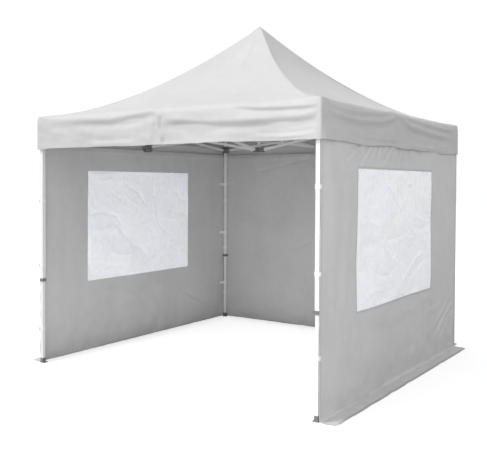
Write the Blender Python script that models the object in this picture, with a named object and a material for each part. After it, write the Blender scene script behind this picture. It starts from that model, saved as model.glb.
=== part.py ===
"""Pop-up marquee tent, three metres square.

A folding steel frame on four telescopic legs carries a sewn canopy with a valance. Walls hang on three
sides, the two side ones with a clear window, and each ends in a ground flap. The open side faces -Y.
"""

import math

import bmesh
import bpy
from mathutils import Matrix, Vector

# General
SEAT = 0.0003
ROUND_SIDES = 16
PIN_SIDES = 8
SMOOTH_ANGLE = math.radians(35)

# Canopy
CANOPY_HALF = 1.5
EAVE_Z = 2.318
APEX_Z = 3.25
ROOF_POWER = 1.65
ROOF_BANDS = 12
ROOF_THICK = 0.005
VALANCE_LOW = 2.017

# Walls
CLOTH = 0.004
WALL_TOP = 2.06
FLAP_WIDTH = 0.135
WINDOW_WIDTH = 1.615
WINDOW_LOW = 0.705
WINDOW_HIGH = 1.82
WINDOW_FORWARD = 0.068

# Legs
UPPER_TUBE = 0.036
UPPER_WALL = 0.0016
LOWER_TUBE = 0.030
LOWER_WALL = 0.0015
TUBE_ROUNDING = 0.003
TUBE_STEPS = 3
UPPER_LOW = 0.775
UPPER_TOP = 2.300
LOWER_TOP = 1.200

# Plastic fittings round the legs
FITTING = 0.046
FITTING_ROUNDING = 0.004
HOLE_ROUNDING = 0.001
CHAMFER_STEPS = 2
LIP_HOLE = 0.0316
COLLAR_LOW = 0.769
COLLAR_TOP = 0.797
KNOB_RADIUS = 0.009
KNOB_REACH = 0.014
SLIDER_LOW = 2.085
SLIDER_TOP = 2.167
BRACKET_LOW = 2.238
FOOT_SOLE = 0.006
FOOT_TOP = 0.045
FOOT_OUTWARD = 0.018
FOOT_INWARD = 0.030

# Scissor trusses
BAR_HEIGHT = 0.025
BAR_WIDTH = 0.012
BAR_PLANE = 0.0075
BAR_END_STEPS = 4
PIN_RADIUS = 0.003
PIN_PLAY = 0.0003
PIN_REACH = 0.0118
CROSS_PIN_RADIUS = 0.005
CROSS_PIN_REACH = 0.017
LEG_PIVOT = 0.048
JOINT_PIVOT = 0.045
UPPER_PIVOT_Z = 2.275
LOWER_PIVOT_Z = 2.120
CEILING_PIVOT_Z = 2.100
EAR_WIDTH = 0.023
EAR_REACH = 0.065
EAR_HEIGHT = 0.044
EAR_ROOT = 0.0195
SLOT_START = 0.030
CUT_PAST = 0.010

# Joint bodies in the middle of each side
MIDDLE_PIVOT = 0.030
MIDDLE_HALF_LENGTH = 0.046
MIDDLE_HALF_DEPTH = 0.018
MIDDLE_EAR_ROOT = 0.015
MIDDLE_UPPER_LOW = 2.252
MIDDLE_UPPER_TOP = 2.298
MIDDLE_LOWER_LOW = 2.045
MIDDLE_LOWER_TOP = 2.140

# Hubs and mast
HUB_HALF = 0.025
LOWER_HUB_Z = 2.035
UPPER_HUB_Z = 2.195
HUB_HEIGHT = 0.046
HUB_FLOOR = 0.012
MAST_RADIUS = 0.014
MAST_WALL = 0.0015
MAST_TOP = 3.200
CAP_RADIUS = 0.030
CAP_LOW = 3.165

# Worked out from the sizes above
VALANCE_IN = CANOPY_HALF - CLOTH
WALL_OUT = VALANCE_IN - SEAT
WALL_IN = WALL_OUT - CLOTH
WALL_HALF = WALL_IN - SEAT
LEG_AT = WALL_HALF - FITTING / 2
FLAP_OUT = WALL_OUT + FLAP_WIDTH
BRACKET_TOP = EAVE_Z - ROOF_THICK - SEAT
CENTRE_Y = (CANOPY_HALF - FLAP_OUT) / 2

# Each corner by the sides of the tent that it lies on: -1 is left or front, +1 is right or rear
CORNERS = {
    "front_left": (-1, -1),
    "front_right": (1, -1),
    "rear_left": (-1, 1),
    "rear_right": (1, 1),
}

# Each side by the turn about Z that takes its outward direction from +Y to its own
SIDES = {
    "front": math.pi,
    "right": -math.pi / 2,
    "rear": 0.0,
    "left": math.pi / 2,
}


def clear_scene():
    """Remove every object that the file starts with."""
    for item in list(bpy.data.objects):
        bpy.data.objects.remove(item, do_unlink=True)


def make_finish(name, colour, roughness, metallic=0.0, alpha=1.0):
    """A Principled material of one colour."""
    finish = bpy.data.materials.new(name)
    finish.use_nodes = True
    shader = finish.node_tree.nodes["Principled BSDF"]
    shader.inputs["Base Color"].default_value = (*colour, 1.0)
    shader.inputs["Roughness"].default_value = roughness
    shader.inputs["Metallic"].default_value = metallic
    shader.inputs["Alpha"].default_value = alpha
    return finish


def make_object(name, shape, finish, parent, location=(0, 0, 0), turn=0.0):
    """Turn a bmesh into a named object, with its faces pointing out."""
    bmesh.ops.recalc_face_normals(shape, faces=shape.faces)
    mesh = bpy.data.meshes.new(name)
    shape.to_mesh(mesh)
    shape.free()
    mesh.materials.append(finish)
    mesh.shade_smooth()
    mesh.set_sharp_from_angle(angle=SMOOTH_ANGLE)
    item = bpy.data.objects.new(name, mesh)
    bpy.context.collection.objects.link(item)
    item.parent = parent
    item.location = location
    item.rotation_euler = (0, 0, turn)
    return item


def apply_shape(item, label, shape, operation):
    """Join a shape to an object, or cut it out, in the object's own frame."""
    tool = make_object(f"{item.name}_{label}", shape, item.data.materials[0], item.parent,
                       item.location, item.rotation_euler.z)
    tool.hide_render = True
    tool.display_type = "WIRE"
    step = item.modifiers.new(label, "BOOLEAN")
    step.operation = operation
    step.solver = "EXACT"
    step.object = tool


def add_box(shape, low, high):
    """A box between two opposite corners, in either order."""
    size = [abs(b - a) for a, b in zip(low, high)]
    middle = [(a + b) / 2 for a, b in zip(low, high)]
    matrix = Matrix.Translation(middle) @ Matrix.Diagonal((*size, 1))
    bmesh.ops.create_cube(shape, size=1, matrix=matrix)


def add_cylinder(shape, centre, axis, radius, length, sides=PIN_SIDES):
    """A closed cylinder with its middle at centre."""
    turn = Vector((0, 0, 1)).rotation_difference(Vector(axis)).to_matrix().to_4x4()
    bmesh.ops.create_cone(shape, cap_ends=True, segments=sides, radius1=radius, radius2=radius,
                          depth=length, matrix=Matrix.Translation(centre) @ turn)


def add_prism(shape, outline, offset):
    """Extrude a flat outline of points by an offset into a closed solid."""
    base = [shape.verts.new(point) for point in outline]
    face = shape.faces.new(base)
    grown = bmesh.ops.extrude_face_region(shape, geom=[face], use_keep_orig=True)
    tops = [part for part in grown["geom"] if isinstance(part, bmesh.types.BMVert)]
    bmesh.ops.translate(shape, vec=offset, verts=tops)


def rounded_square(size, rounding, steps):
    """Points round a square with rounded corners, or chamfered ones at two steps, in the XY plane."""
    points = []
    inner = size / 2 - rounding
    for corner in range(4):
        start = corner * math.pi / 2
        middle = Vector((inner, inner)) @ Matrix.Rotation(-start, 2)
        for step in range(steps):
            angle = start + math.pi / 2 * step / (steps - 1)
            points.append((middle.x + rounding * math.cos(angle), middle.y + rounding * math.sin(angle)))
    return points


def add_square_post(shape, size, rounding, low, high):
    """A solid upright post with chamfered edges, centred on the origin."""
    outline = [(x, y, low) for x, y in rounded_square(size, rounding, CHAMFER_STEPS)]
    add_prism(shape, outline, (0, 0, high - low))


def add_square_tube(shape, size, wall, rounding, low, high):
    """An upright square tube, open at both ends, centred on the origin."""
    rings = []
    for outline in (rounded_square(size, rounding, TUBE_STEPS),
                    rounded_square(size - 2 * wall, rounding - wall, TUBE_STEPS)):
        for level in (low, high):
            rings.append([shape.verts.new((x, y, level)) for x, y in outline])
    outer_low, outer_high, inner_low, inner_high = rings
    count = len(outer_low)
    for near, far in ((outer_low, outer_high), (inner_low, inner_high),
                      (outer_low, inner_low), (outer_high, inner_high)):
        for index in range(count):
            after = (index + 1) % count
            shape.faces.new((near[index], near[after], far[after], far[index]))


def add_bar(shape, start, end, pin_axis):
    """A flat bar between two pivots with round ends, as wide as BAR_WIDTH along the pins."""
    start = Vector(start)
    end = Vector(end)
    along = (end - start).normalized()
    across = Vector(pin_axis)
    upward = across.cross(along)
    radius = BAR_HEIGHT / 2
    outline = []
    for centre, first in ((end, -math.pi / 2), (start, math.pi / 2)):
        for step in range(BAR_END_STEPS):
            angle = first + math.pi * step / (BAR_END_STEPS - 1)
            outline.append(centre + radius * (math.cos(angle) * along + math.sin(angle) * upward))
    half = across * (BAR_WIDTH / 2)
    add_prism(shape, [point - half for point in outline], 2 * half)


def add_turned(shape, profile, closed=False):
    """Turn a profile of (radius, height) points about Z. A closed profile makes a tube."""
    rings = []
    for radius, height in profile:
        if radius == 0:
            rings.append([shape.verts.new((0, 0, height))] * ROUND_SIDES)
            continue
        ring = []
        for index in range(ROUND_SIDES):
            angle = 2 * math.pi * index / ROUND_SIDES
            ring.append(shape.verts.new((radius * math.cos(angle), radius * math.sin(angle), height)))
        rings.append(ring)
    if closed:
        rings.append(rings[0])
    for upper, lower in zip(rings, rings[1:]):
        for index in range(ROUND_SIDES):
            after = (index + 1) % ROUND_SIDES
            corners = []
            for vert in (upper[index], upper[after], lower[after], lower[index]):
                if vert not in corners:
                    corners.append(vert)
            shape.faces.new(corners)


def add_ear(shape, along, side, offset, root, middle_z):
    """The block of a fork: it points along one direction, with its middle plane off to one side."""
    low = along * root + side * (offset - EAR_WIDTH / 2)
    high = along * EAR_REACH + side * (offset + EAR_WIDTH / 2)
    add_box(shape, low + Vector((0, 0, middle_z - EAR_HEIGHT / 2)),
            high + Vector((0, 0, middle_z + EAR_HEIGHT / 2)))


def add_slot(shape, along, side, offset, middle_z):
    """The slot between the two cheeks of a fork, which a bar's end lies in."""
    half = BAR_WIDTH / 2 + SEAT
    low = along * SLOT_START + side * (offset - half)
    high = along * (EAR_REACH + CUT_PAST) + side * (offset + half)
    reach = EAR_HEIGHT / 2 + CUT_PAST
    add_box(shape, low + Vector((0, 0, middle_z - reach)), high + Vector((0, 0, middle_z + reach)))


def add_pin_hole(shape, along, side, offset, pivot, middle_z):
    """The hole through both cheeks of a fork, a little wider than the pin."""
    centre = along * pivot + side * offset + Vector((0, 0, middle_z))
    add_cylinder(shape, centre, side, PIN_RADIUS + PIN_PLAY, EAR_WIDTH + CUT_PAST)


def fit_forks(item, ears, root, pivot, middle_z):
    """Add forks to a fitting. Each ear is its direction, its sideways direction and its offset."""
    blocks = bmesh.new()
    slots = bmesh.new()
    holes = bmesh.new()
    for along, side, offset in ears:
        add_ear(blocks, along, side, offset, root, middle_z)
        add_slot(slots, along, side, offset, middle_z)
        add_pin_hole(holes, along, side, offset, pivot, middle_z)
    apply_shape(item, "ears", blocks, "UNION")
    apply_shape(item, "slots", slots, "DIFFERENCE")
    apply_shape(item, "pin_holes", holes, "DIFFERENCE")


def crossing_point(first, second):
    """Where two bars between the same two uprights cross, on the line midway between their planes."""
    (start, end), (other_start, other_end) = first, second
    share = (other_start[2] - start[2]) / ((end[2] - start[2]) - (other_end[2] - other_start[2]))
    return (Vector(start).lerp(Vector(end), share) + Vector(other_start).lerp(Vector(other_end), share)) / 2


def roof_height(reach):
    """Height of the canopy's top at a distance from its middle, measured square to the nearest eave."""
    return EAVE_Z + (APEX_Z - EAVE_Z) * (1 - reach / CANOPY_HALF) ** ROOF_POWER


def build_leg(corner, signs, finishes, tent):
    """One telescopic leg: both tubes, the locking collar between them and the foot."""
    across, deep = signs
    place = (across * LEG_AT, deep * LEG_AT, 0)

    shape = bmesh.new()
    add_square_tube(shape, UPPER_TUBE, UPPER_WALL, TUBE_ROUNDING, UPPER_LOW, UPPER_TOP)
    make_object(f"upper_leg_{corner}", shape, finishes["white_steel"], tent, place)

    shape = bmesh.new()
    add_square_tube(shape, LOWER_TUBE, LOWER_WALL, TUBE_ROUNDING, FOOT_SOLE + SEAT, LOWER_TOP)
    make_object(f"lower_leg_{corner}", shape, finishes["white_steel"], tent, place)

    shape = bmesh.new()
    add_square_post(shape, FITTING, FITTING_ROUNDING, COLLAR_LOW, COLLAR_TOP)
    collar = make_object(f"leg_collar_{corner}", shape, finishes["charcoal_plastic"], tent, place)
    shape = bmesh.new()
    middle_z = (COLLAR_LOW + COLLAR_TOP) / 2
    knob_length = FITTING / 2 + KNOB_REACH - EAR_ROOT
    knob_middle = EAR_ROOT + knob_length / 2
    add_cylinder(shape, (-across * knob_middle, 0, middle_z), (1, 0, 0), KNOB_RADIUS, knob_length,
                 ROUND_SIDES)
    apply_shape(collar, "knob", shape, "UNION")
    cut_socket(collar, "upper_hole", UPPER_TUBE + 2 * SEAT, UPPER_LOW - SEAT, COLLAR_TOP + CUT_PAST)
    cut_socket(collar, "lip_hole", LIP_HOLE, COLLAR_LOW - CUT_PAST, COLLAR_TOP + CUT_PAST)

    shape = bmesh.new()
    add_box(shape, (across * FOOT_OUTWARD, deep * FOOT_OUTWARD, 0),
            (-across * FOOT_INWARD, -deep * FOOT_INWARD, FOOT_SOLE))
    foot = make_object(f"foot_{corner}", shape, finishes["charcoal_plastic"], tent, place)
    shape = bmesh.new()
    add_square_post(shape, 2 * FOOT_OUTWARD, TUBE_ROUNDING, 0, FOOT_TOP)
    apply_shape(foot, "socket", shape, "UNION")
    cut_socket(foot, "tube_hole", LOWER_TUBE + 2 * SEAT, FOOT_SOLE, FOOT_TOP + CUT_PAST)


def cut_socket(item, label, size, low, high):
    """Cut an upright square hole with rounded corners through the middle of a fitting."""
    shape = bmesh.new()
    add_square_post(shape, size, HOLE_ROUNDING, low, high)
    apply_shape(item, label, shape, "DIFFERENCE")


def build_leg_fittings(corner, signs, finishes, tent):
    """The fixed bracket on top of a leg and the slider below it, each with two forks for the trusses."""
    across, deep = signs
    place = (across * LEG_AT, deep * LEG_AT, 0)
    along_x = Vector((-across, 0, 0))
    along_y = Vector((0, -deep, 0))
    for name, low, high, hole_top, pivot_z, plane in (
            ("corner_bracket", BRACKET_LOW, BRACKET_TOP, UPPER_TOP + SEAT, UPPER_PIVOT_Z, BAR_PLANE),
            ("slider", SLIDER_LOW, SLIDER_TOP, SLIDER_TOP + CUT_PAST, LOWER_PIVOT_Z, -BAR_PLANE)):
        shape = bmesh.new()
        add_square_post(shape, FITTING, FITTING_ROUNDING, low, high)
        fitting = make_object(f"{name}_{corner}", shape, finishes["charcoal_plastic"], tent, place)
        ears = ((along_x, -along_y, plane), (along_y, -along_x, plane))
        fit_forks(fitting, ears, EAR_ROOT, LEG_PIVOT, pivot_z)
        cut_socket(fitting, "leg_hole", UPPER_TUBE + 2 * SEAT, low - CUT_PAST, hole_top)


def build_side_truss(side, turn, finishes, tent):
    """The two pairs of crossed bars between two legs, with the joint bodies in the middle of the side."""
    leg_end = LEG_AT - LEG_PIVOT
    bars = bmesh.new()
    pins = bmesh.new()
    for way in (-1, 1):
        outer_y = LEG_AT + BAR_PLANE
        inner_y = LEG_AT - BAR_PLANE
        falling = ((way * leg_end, outer_y, UPPER_PIVOT_Z), (way * MIDDLE_PIVOT, outer_y, LOWER_PIVOT_Z))
        rising = ((way * leg_end, inner_y, LOWER_PIVOT_Z), (way * MIDDLE_PIVOT, inner_y, UPPER_PIVOT_Z))
        for start, end in (falling, rising):
            add_bar(bars, start, end, (0, 1, 0))
            add_cylinder(pins, start, (0, 1, 0), PIN_RADIUS, 2 * PIN_REACH)
        middle = crossing_point(falling, rising)
        add_cylinder(pins, middle, (0, 1, 0), CROSS_PIN_RADIUS, 2 * CROSS_PIN_REACH)
    truss = make_object(f"side_truss_{side}", bars, finishes["white_steel"], tent, turn=turn)
    apply_shape(truss, "pins", pins, "UNION")

    bodies = bmesh.new()
    for low, high in ((MIDDLE_UPPER_LOW, MIDDLE_UPPER_TOP), (MIDDLE_LOWER_LOW, MIDDLE_LOWER_TOP)):
        add_box(bodies, (-MIDDLE_HALF_LENGTH, LEG_AT - MIDDLE_HALF_DEPTH, low),
                (MIDDLE_HALF_LENGTH, LEG_AT + MIDDLE_HALF_DEPTH, high))
    apply_shape(truss, "joint_bodies", bodies, "UNION")
    cut_middle_forks(truss)


def cut_middle_forks(truss):
    """Give the two joint bodies the forks that carry the ceiling bars."""
    blocks = bmesh.new()
    slots = bmesh.new()
    holes = bmesh.new()
    inward = Vector((0, -1, 0))
    sideways = Vector((1, 0, 0))
    for offset, middle_z in ((BAR_PLANE, UPPER_PIVOT_Z), (-BAR_PLANE, CEILING_PIVOT_Z)):
        add_ear(blocks, inward, sideways, offset, MIDDLE_EAR_ROOT, middle_z)
        add_slot(slots, inward, sideways, offset, middle_z)
        add_pin_hole(holes, inward, sideways, offset, JOINT_PIVOT, middle_z)
    for shape in (blocks, slots, holes):
        bmesh.ops.translate(shape, vec=(0, LEG_AT, 0), verts=shape.verts)
    apply_shape(truss, "ears", blocks, "UNION")
    apply_shape(truss, "slots", slots, "DIFFERENCE")
    apply_shape(truss, "pin_holes", holes, "DIFFERENCE")


def build_ceiling_truss(side, turn, finishes, tent):
    """The pair of crossed bars from the middle of one side to the hubs."""
    outer_end = LEG_AT - JOINT_PIVOT
    to_lower_hub = ((BAR_PLANE, outer_end, UPPER_PIVOT_Z), (BAR_PLANE, JOINT_PIVOT, LOWER_HUB_Z))
    to_upper_hub = ((-BAR_PLANE, outer_end, CEILING_PIVOT_Z), (-BAR_PLANE, JOINT_PIVOT, UPPER_HUB_Z))
    bars = bmesh.new()
    pins = bmesh.new()
    for start, end in (to_lower_hub, to_upper_hub):
        add_bar(bars, start, end, (1, 0, 0))
        for pivot in (start, end):
            add_cylinder(pins, pivot, (1, 0, 0), PIN_RADIUS, 2 * PIN_REACH)
    middle = crossing_point(to_lower_hub, to_upper_hub)
    add_cylinder(pins, middle, (1, 0, 0), CROSS_PIN_RADIUS, 2 * CROSS_PIN_REACH)
    truss = make_object(f"ceiling_truss_{side}", bars, finishes["white_steel"], tent, turn=turn)
    apply_shape(truss, "pins", pins, "UNION")


def build_hub(name, middle_z, plane, hole_low, finishes, tent):
    """A hub with a fork towards each side and a round hole for the mast."""
    shape = bmesh.new()
    low = middle_z - HUB_HEIGHT / 2
    high = middle_z + HUB_HEIGHT / 2
    add_square_post(shape, 2 * HUB_HALF, FITTING_ROUNDING, low, high)
    hub = make_object(name, shape, finishes["charcoal_plastic"], tent)
    shape = bmesh.new()
    hole_radius = MAST_RADIUS + SEAT
    top = high + CUT_PAST
    add_turned(shape, [(0, top), (hole_radius, top), (hole_radius, hole_low), (0, hole_low)])
    apply_shape(hub, "mast_hole", shape, "DIFFERENCE")
    ears = []
    for along in (Vector((0, 1, 0)), Vector((1, 0, 0)), Vector((0, -1, 0)), Vector((-1, 0, 0))):
        ears.append((along, Vector((along.y, -along.x, 0)), plane))
    fit_forks(hub, ears, EAR_ROOT, JOINT_PIVOT, middle_z)


def build_mast(finishes, tent):
    """The hubs, the tube that stands in them and the cap that lifts the canopy."""
    hub_floor = LOWER_HUB_Z - HUB_HEIGHT / 2 + HUB_FLOOR
    build_hub("hub_lower", LOWER_HUB_Z, BAR_PLANE, hub_floor, finishes, tent)
    build_hub("hub_upper", UPPER_HUB_Z, -BAR_PLANE, UPPER_HUB_Z - HUB_HEIGHT, finishes, tent)

    shape = bmesh.new()
    bore = MAST_RADIUS - MAST_WALL
    foot = hub_floor + SEAT
    add_turned(shape, [(MAST_RADIUS, MAST_TOP), (MAST_RADIUS, foot), (bore, foot), (bore, MAST_TOP)], True)
    make_object("mast", shape, finishes["white_steel"], tent)

    first_band = CANOPY_HALF / ROOF_BANDS
    slope = (APEX_Z - roof_height(first_band)) / first_band
    tip = APEX_Z - ROOF_THICK - 2 * SEAT
    shape = bmesh.new()
    hole = MAST_RADIUS + SEAT
    add_turned(shape, [(0, tip), (CAP_RADIUS, tip - slope * CAP_RADIUS), (CAP_RADIUS, CAP_LOW),
                       (hole, CAP_LOW), (hole, MAST_TOP + SEAT), (0, MAST_TOP + SEAT)])
    make_object("mast_cap", shape, finishes["charcoal_plastic"], tent)


def build_roof_panel(side, turn, finishes, tent):
    """One of the four hollow-curved panels of the canopy, from the apex to an eave."""
    recess = SEAT / math.sqrt(2)
    shape = bmesh.new()
    rows = []
    for band in range(ROOF_BANDS + 1):
        reach = max(CANOPY_HALF * band / ROOF_BANDS, recess)
        half = reach - recess
        top = roof_height(reach)
        points = [(-half, reach, top), (half, reach, top)]
        points += [(half, reach, top - ROOF_THICK), (-half, reach, top - ROOF_THICK)]
        if band == 0:
            points = [points[0], points[3]]
        rows.append([shape.verts.new(point) for point in points])
    tip, tip_below = rows[0]
    first = rows[1]
    shape.faces.new((tip, first[0], first[1]))
    shape.faces.new((tip_below, first[2], first[3]))
    shape.faces.new((tip, tip_below, first[3], first[0]))
    shape.faces.new((tip, first[1], first[2], tip_below))
    for near, far in zip(rows[1:], rows[2:]):
        for index in range(4):
            after = (index + 1) % 4
            shape.faces.new((near[index], far[index], far[after], near[after]))
    shape.faces.new(rows[-1])
    make_object(f"roof_panel_{side}", shape, finishes["grey_cloth"], tent, turn=turn)


def build_valance(side, turn, finishes, tent):
    """The upright strip of cloth below one eave. The side strips lie between the front and rear ones."""
    half = CANOPY_HALF if side in ("front", "rear") else VALANCE_IN - SEAT
    shape = bmesh.new()
    add_box(shape, (-half, VALANCE_IN, VALANCE_LOW), (half, CANOPY_HALF, EAVE_Z - ROOF_THICK - SEAT))
    make_object(f"valance_{side}", shape, finishes["grey_cloth"], tent, turn=turn)


def build_wall(side, turn, window_middle, finishes, tent):
    """One hung wall with the flap that lies on the ground outside it, and its window if it has one."""
    half = WALL_OUT if side == "rear" else WALL_HALF
    outline = [
        (-half, WALL_IN, 0),
        (-half, WALL_IN, WALL_TOP),
        (-half, WALL_OUT, WALL_TOP),
        (-half, WALL_OUT, CLOTH),
        (-half, FLAP_OUT, CLOTH),
        (-half, FLAP_OUT, 0),
    ]
    shape = bmesh.new()
    add_prism(shape, outline, (2 * half, 0, 0))
    wall = make_object(f"wall_{side}", shape, finishes["grey_cloth"], tent, turn=turn)
    if window_middle is None:
        return
    left = window_middle - WINDOW_WIDTH / 2
    right = window_middle + WINDOW_WIDTH / 2
    shape = bmesh.new()
    add_box(shape, (left, WALL_IN - CUT_PAST, WINDOW_LOW), (right, WALL_OUT + CUT_PAST, WINDOW_HIGH))
    apply_shape(wall, "window_hole", shape, "DIFFERENCE")
    shape = bmesh.new()
    add_box(shape, (left + SEAT, WALL_IN, WINDOW_LOW + SEAT), (right - SEAT, WALL_OUT, WINDOW_HIGH - SEAT))
    make_object(f"window_{side}", shape, finishes["window_film"], tent, turn=turn)


def main():
    """Build the whole tent under one empty, which sets its middle over the origin."""
    clear_scene()
    finishes = {
        "white_steel": make_finish("white_steel", (0.80, 0.80, 0.79), 0.38),
        "charcoal_plastic": make_finish("charcoal_plastic", (0.055, 0.056, 0.060), 0.50),
        "grey_cloth": make_finish("grey_cloth", (0.62, 0.62, 0.61), 0.82),
        "window_film": make_finish("window_film", (0.74, 0.78, 0.82), 0.22, alpha=0.45),
    }
    tent = bpy.data.objects.new("tent", None)
    bpy.context.collection.objects.link(tent)
    tent.location = (0, CENTRE_Y, 0)

    for corner, signs in CORNERS.items():
        build_leg(corner, signs, finishes, tent)
        build_leg_fittings(corner, signs, finishes, tent)
    for side, turn in SIDES.items():
        build_side_truss(side, turn, finishes, tent)
        build_ceiling_truss(side, turn, finishes, tent)
        build_roof_panel(side, turn, finishes, tent)
        build_valance(side, turn, finishes, tent)
    build_mast(finishes, tent)
    build_wall("left", SIDES["left"], -WINDOW_FORWARD, finishes, tent)
    build_wall("right", SIDES["right"], WINDOW_FORWARD, finishes, tent)
    build_wall("rear", SIDES["rear"], None, finishes, tent)


main()
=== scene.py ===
"""Looks of the pop-up marquee tent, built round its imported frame.

The sewn canopy, the three laced walls and the two window films take the place of their plain solids.
The steel frame and its plastic fittings keep their own shapes and get their finishes here.
"""

from __future__ import annotations

import logging
import math
from dataclasses import dataclass
from enum import Enum
from typing import Any

import bmesh
import bpy
import numpy as np
from mathutils import Matrix, Vector


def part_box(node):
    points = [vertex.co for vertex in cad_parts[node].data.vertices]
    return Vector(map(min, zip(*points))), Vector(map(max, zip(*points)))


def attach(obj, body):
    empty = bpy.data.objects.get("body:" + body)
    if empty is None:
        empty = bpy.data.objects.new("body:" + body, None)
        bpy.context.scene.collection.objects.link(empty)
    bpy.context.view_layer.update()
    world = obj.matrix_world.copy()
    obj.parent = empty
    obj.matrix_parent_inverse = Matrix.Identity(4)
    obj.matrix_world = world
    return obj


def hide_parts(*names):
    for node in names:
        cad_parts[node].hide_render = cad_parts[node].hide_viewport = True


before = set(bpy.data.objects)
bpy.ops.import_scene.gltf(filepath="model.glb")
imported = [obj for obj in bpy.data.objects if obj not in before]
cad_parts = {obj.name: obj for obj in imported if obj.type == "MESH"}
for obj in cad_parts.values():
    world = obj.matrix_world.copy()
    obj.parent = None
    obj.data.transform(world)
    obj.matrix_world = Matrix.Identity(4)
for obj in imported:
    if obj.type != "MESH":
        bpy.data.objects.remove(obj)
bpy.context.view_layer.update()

Array = np.ndarray
Path = tuple[tuple[float, float], ...]

LOG = logging.getLogger("marquee")
TENT = "tent"
SMOOTH_ANGLE = math.radians(40)
CENTRE_Y = (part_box("mast")[0].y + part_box("mast")[1].y) / 2


class Side(Enum):
    """One side of the tent, by its outward direction on the ground."""

    FRONT = (0.0, -1.0)
    RIGHT = (1.0, 0.0)
    REAR = (0.0, 1.0)
    LEFT = (-1.0, 0.0)

    def place(self, along: Array, outward: Array, height: Array) -> Array:
        """Turn measures taken on this side into points of the tent.

        Args:
            along: distance from the middle of the side, to the right as seen from outside.
            outward: distance from the tent's middle.
            height: height above the ground.

        Returns:
            The points, with x, y and z as the last axis.
        """
        out_x, out_y = self.value
        x = out_x * outward - out_y * along
        y = CENTRE_Y + out_y * outward + out_x * along
        return np.stack(np.broadcast_arrays(x, y, height), axis=-1)


class FoldKind(Enum):
    """Cross-section of a fold: a soft ridge, a sharp crease, or a roll that bulges on one side only."""

    RIDGE = "ridge"
    CREASE = "crease"
    ROLL = "roll"


def ease(value: Array) -> Array:
    """Smooth step from 0 to 1."""
    held = np.clip(value, 0.0, 1.0)
    return held * held * (3.0 - 2.0 * held)


@dataclass(frozen=True)
class Fold:
    """One fold of a cloth, drawn as a line on it.

    The line is a row of (along, height) points. A roll bulges on the left of its line, which is above
    it where the line runs to the right, and sinks on the other side. The fold grows over the share
    "fade" of its length and dies away over the share "close", which is the same if left out.
    """

    path: Path
    width: float
    depth: float
    kind: FoldKind = FoldKind.RIDGE
    fade: float = 0.3
    close: float | None = None

    def push(self, along: Array, height: Array) -> Array:
        """Distance that the fold moves each point of the cloth outward.

        Args:
            along: place of each point along the side.
            height: height of each point on the cloth.

        Returns:
            The outward moves in metres.
        """
        starts = self.path[:-1]
        ends = self.path[1:]
        total = sum(math.dist(a, b) for a, b in zip(starts, ends))
        nearest = np.full(along.shape, np.inf)
        offset = np.zeros(along.shape)
        share = np.zeros(along.shape)
        done = 0.0
        for (a, b), (c, d) in zip(starts, ends):
            run, rise = c - a, d - b
            length = math.hypot(run, rise)
            t = np.clip(((along - a) * run + (height - b) * rise) / length**2, 0.0, 1.0)
            away_u, away_z = along - (a + t * run), height - (b + t * rise)
            distance = np.hypot(away_u, away_z)
            signed = distance * np.sign(run * away_z - rise * away_u)
            closer = distance < nearest
            nearest = np.where(closer, distance, nearest)
            offset = np.where(closer, signed, offset)
            share = np.where(closer, (done + t * length) / total, share)
            done += length
        close = self.fade if self.close is None else self.close
        strength = self.depth * ease(share / self.fade) * ease((1.0 - share) / close)
        q = offset / self.width
        if self.kind is FoldKind.RIDGE:
            return strength * np.exp(-0.5 * q * q)
        if self.kind is FoldKind.CREASE:
            return strength * np.exp(-np.abs(q))
        return strength * 1.65 * q * np.exp(-0.5 * q * q)


@dataclass(frozen=True)
class Waves:
    """Soft random waviness of a cloth, the same on every run."""

    longest: float
    shortest: float
    height: float
    seed: int
    upright: float = 1.0
    count: int = 18

    def push(self, along: Array, height: Array) -> Array:
        """Outward moves of the cloth.

        Args:
            along: place of each point along the side.
            height: height of each point on the cloth.

        Returns:
            The outward moves in metres, whose usual size is the waves' height.
        """
        draw = np.random.default_rng(self.seed)
        total = np.zeros(along.shape)
        power = 0.0
        for _ in range(self.count):
            length = math.exp(draw.uniform(math.log(self.shortest), math.log(self.longest)))
            turn, phase = draw.uniform(0.0, 2.0 * math.pi, 2)
            k = 2.0 * math.pi / length
            step = math.cos(turn) * along + math.sin(turn) * height / self.upright
            total += length * np.sin(k * step + phase)
            power += length * length / 2.0
        return self.height * total / math.sqrt(power)


# Meshes


def settle(item: bpy.types.Object) -> bpy.types.Object:
    """Make the modifiers of a piece part of its mesh.

    Args:
        item: the piece.

    Returns:
        The same piece, with no modifiers.
    """
    bpy.context.view_layer.update()
    graph = bpy.context.evaluated_depsgraph_get()
    final = bpy.data.meshes.new_from_object(item.evaluated_get(graph), depsgraph=graph)
    item.modifiers.clear()
    spare = item.data
    item.data = final
    bpy.data.meshes.remove(spare)
    return item


def finish_mesh(item: bpy.types.Object, material: bpy.types.Material, angle: float = SMOOTH_ANGLE) -> None:
    """Shade a piece smoothly between its sharp edges and give it its finish.

    Args:
        item: the piece.
        material: its finish.
        angle: edges that turn more than this stay sharp.
    """
    item.data.shade_smooth()
    item.data.set_sharp_from_angle(angle=angle)
    item.data.materials.clear()
    item.data.materials.append(material)


def add_object(name: str, mesh: bpy.types.Mesh) -> bpy.types.Object:
    """Put a mesh in the scene as a piece of that name."""
    item = bpy.data.objects.new(name, mesh)
    bpy.context.scene.collection.objects.link(item)
    return item


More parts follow.
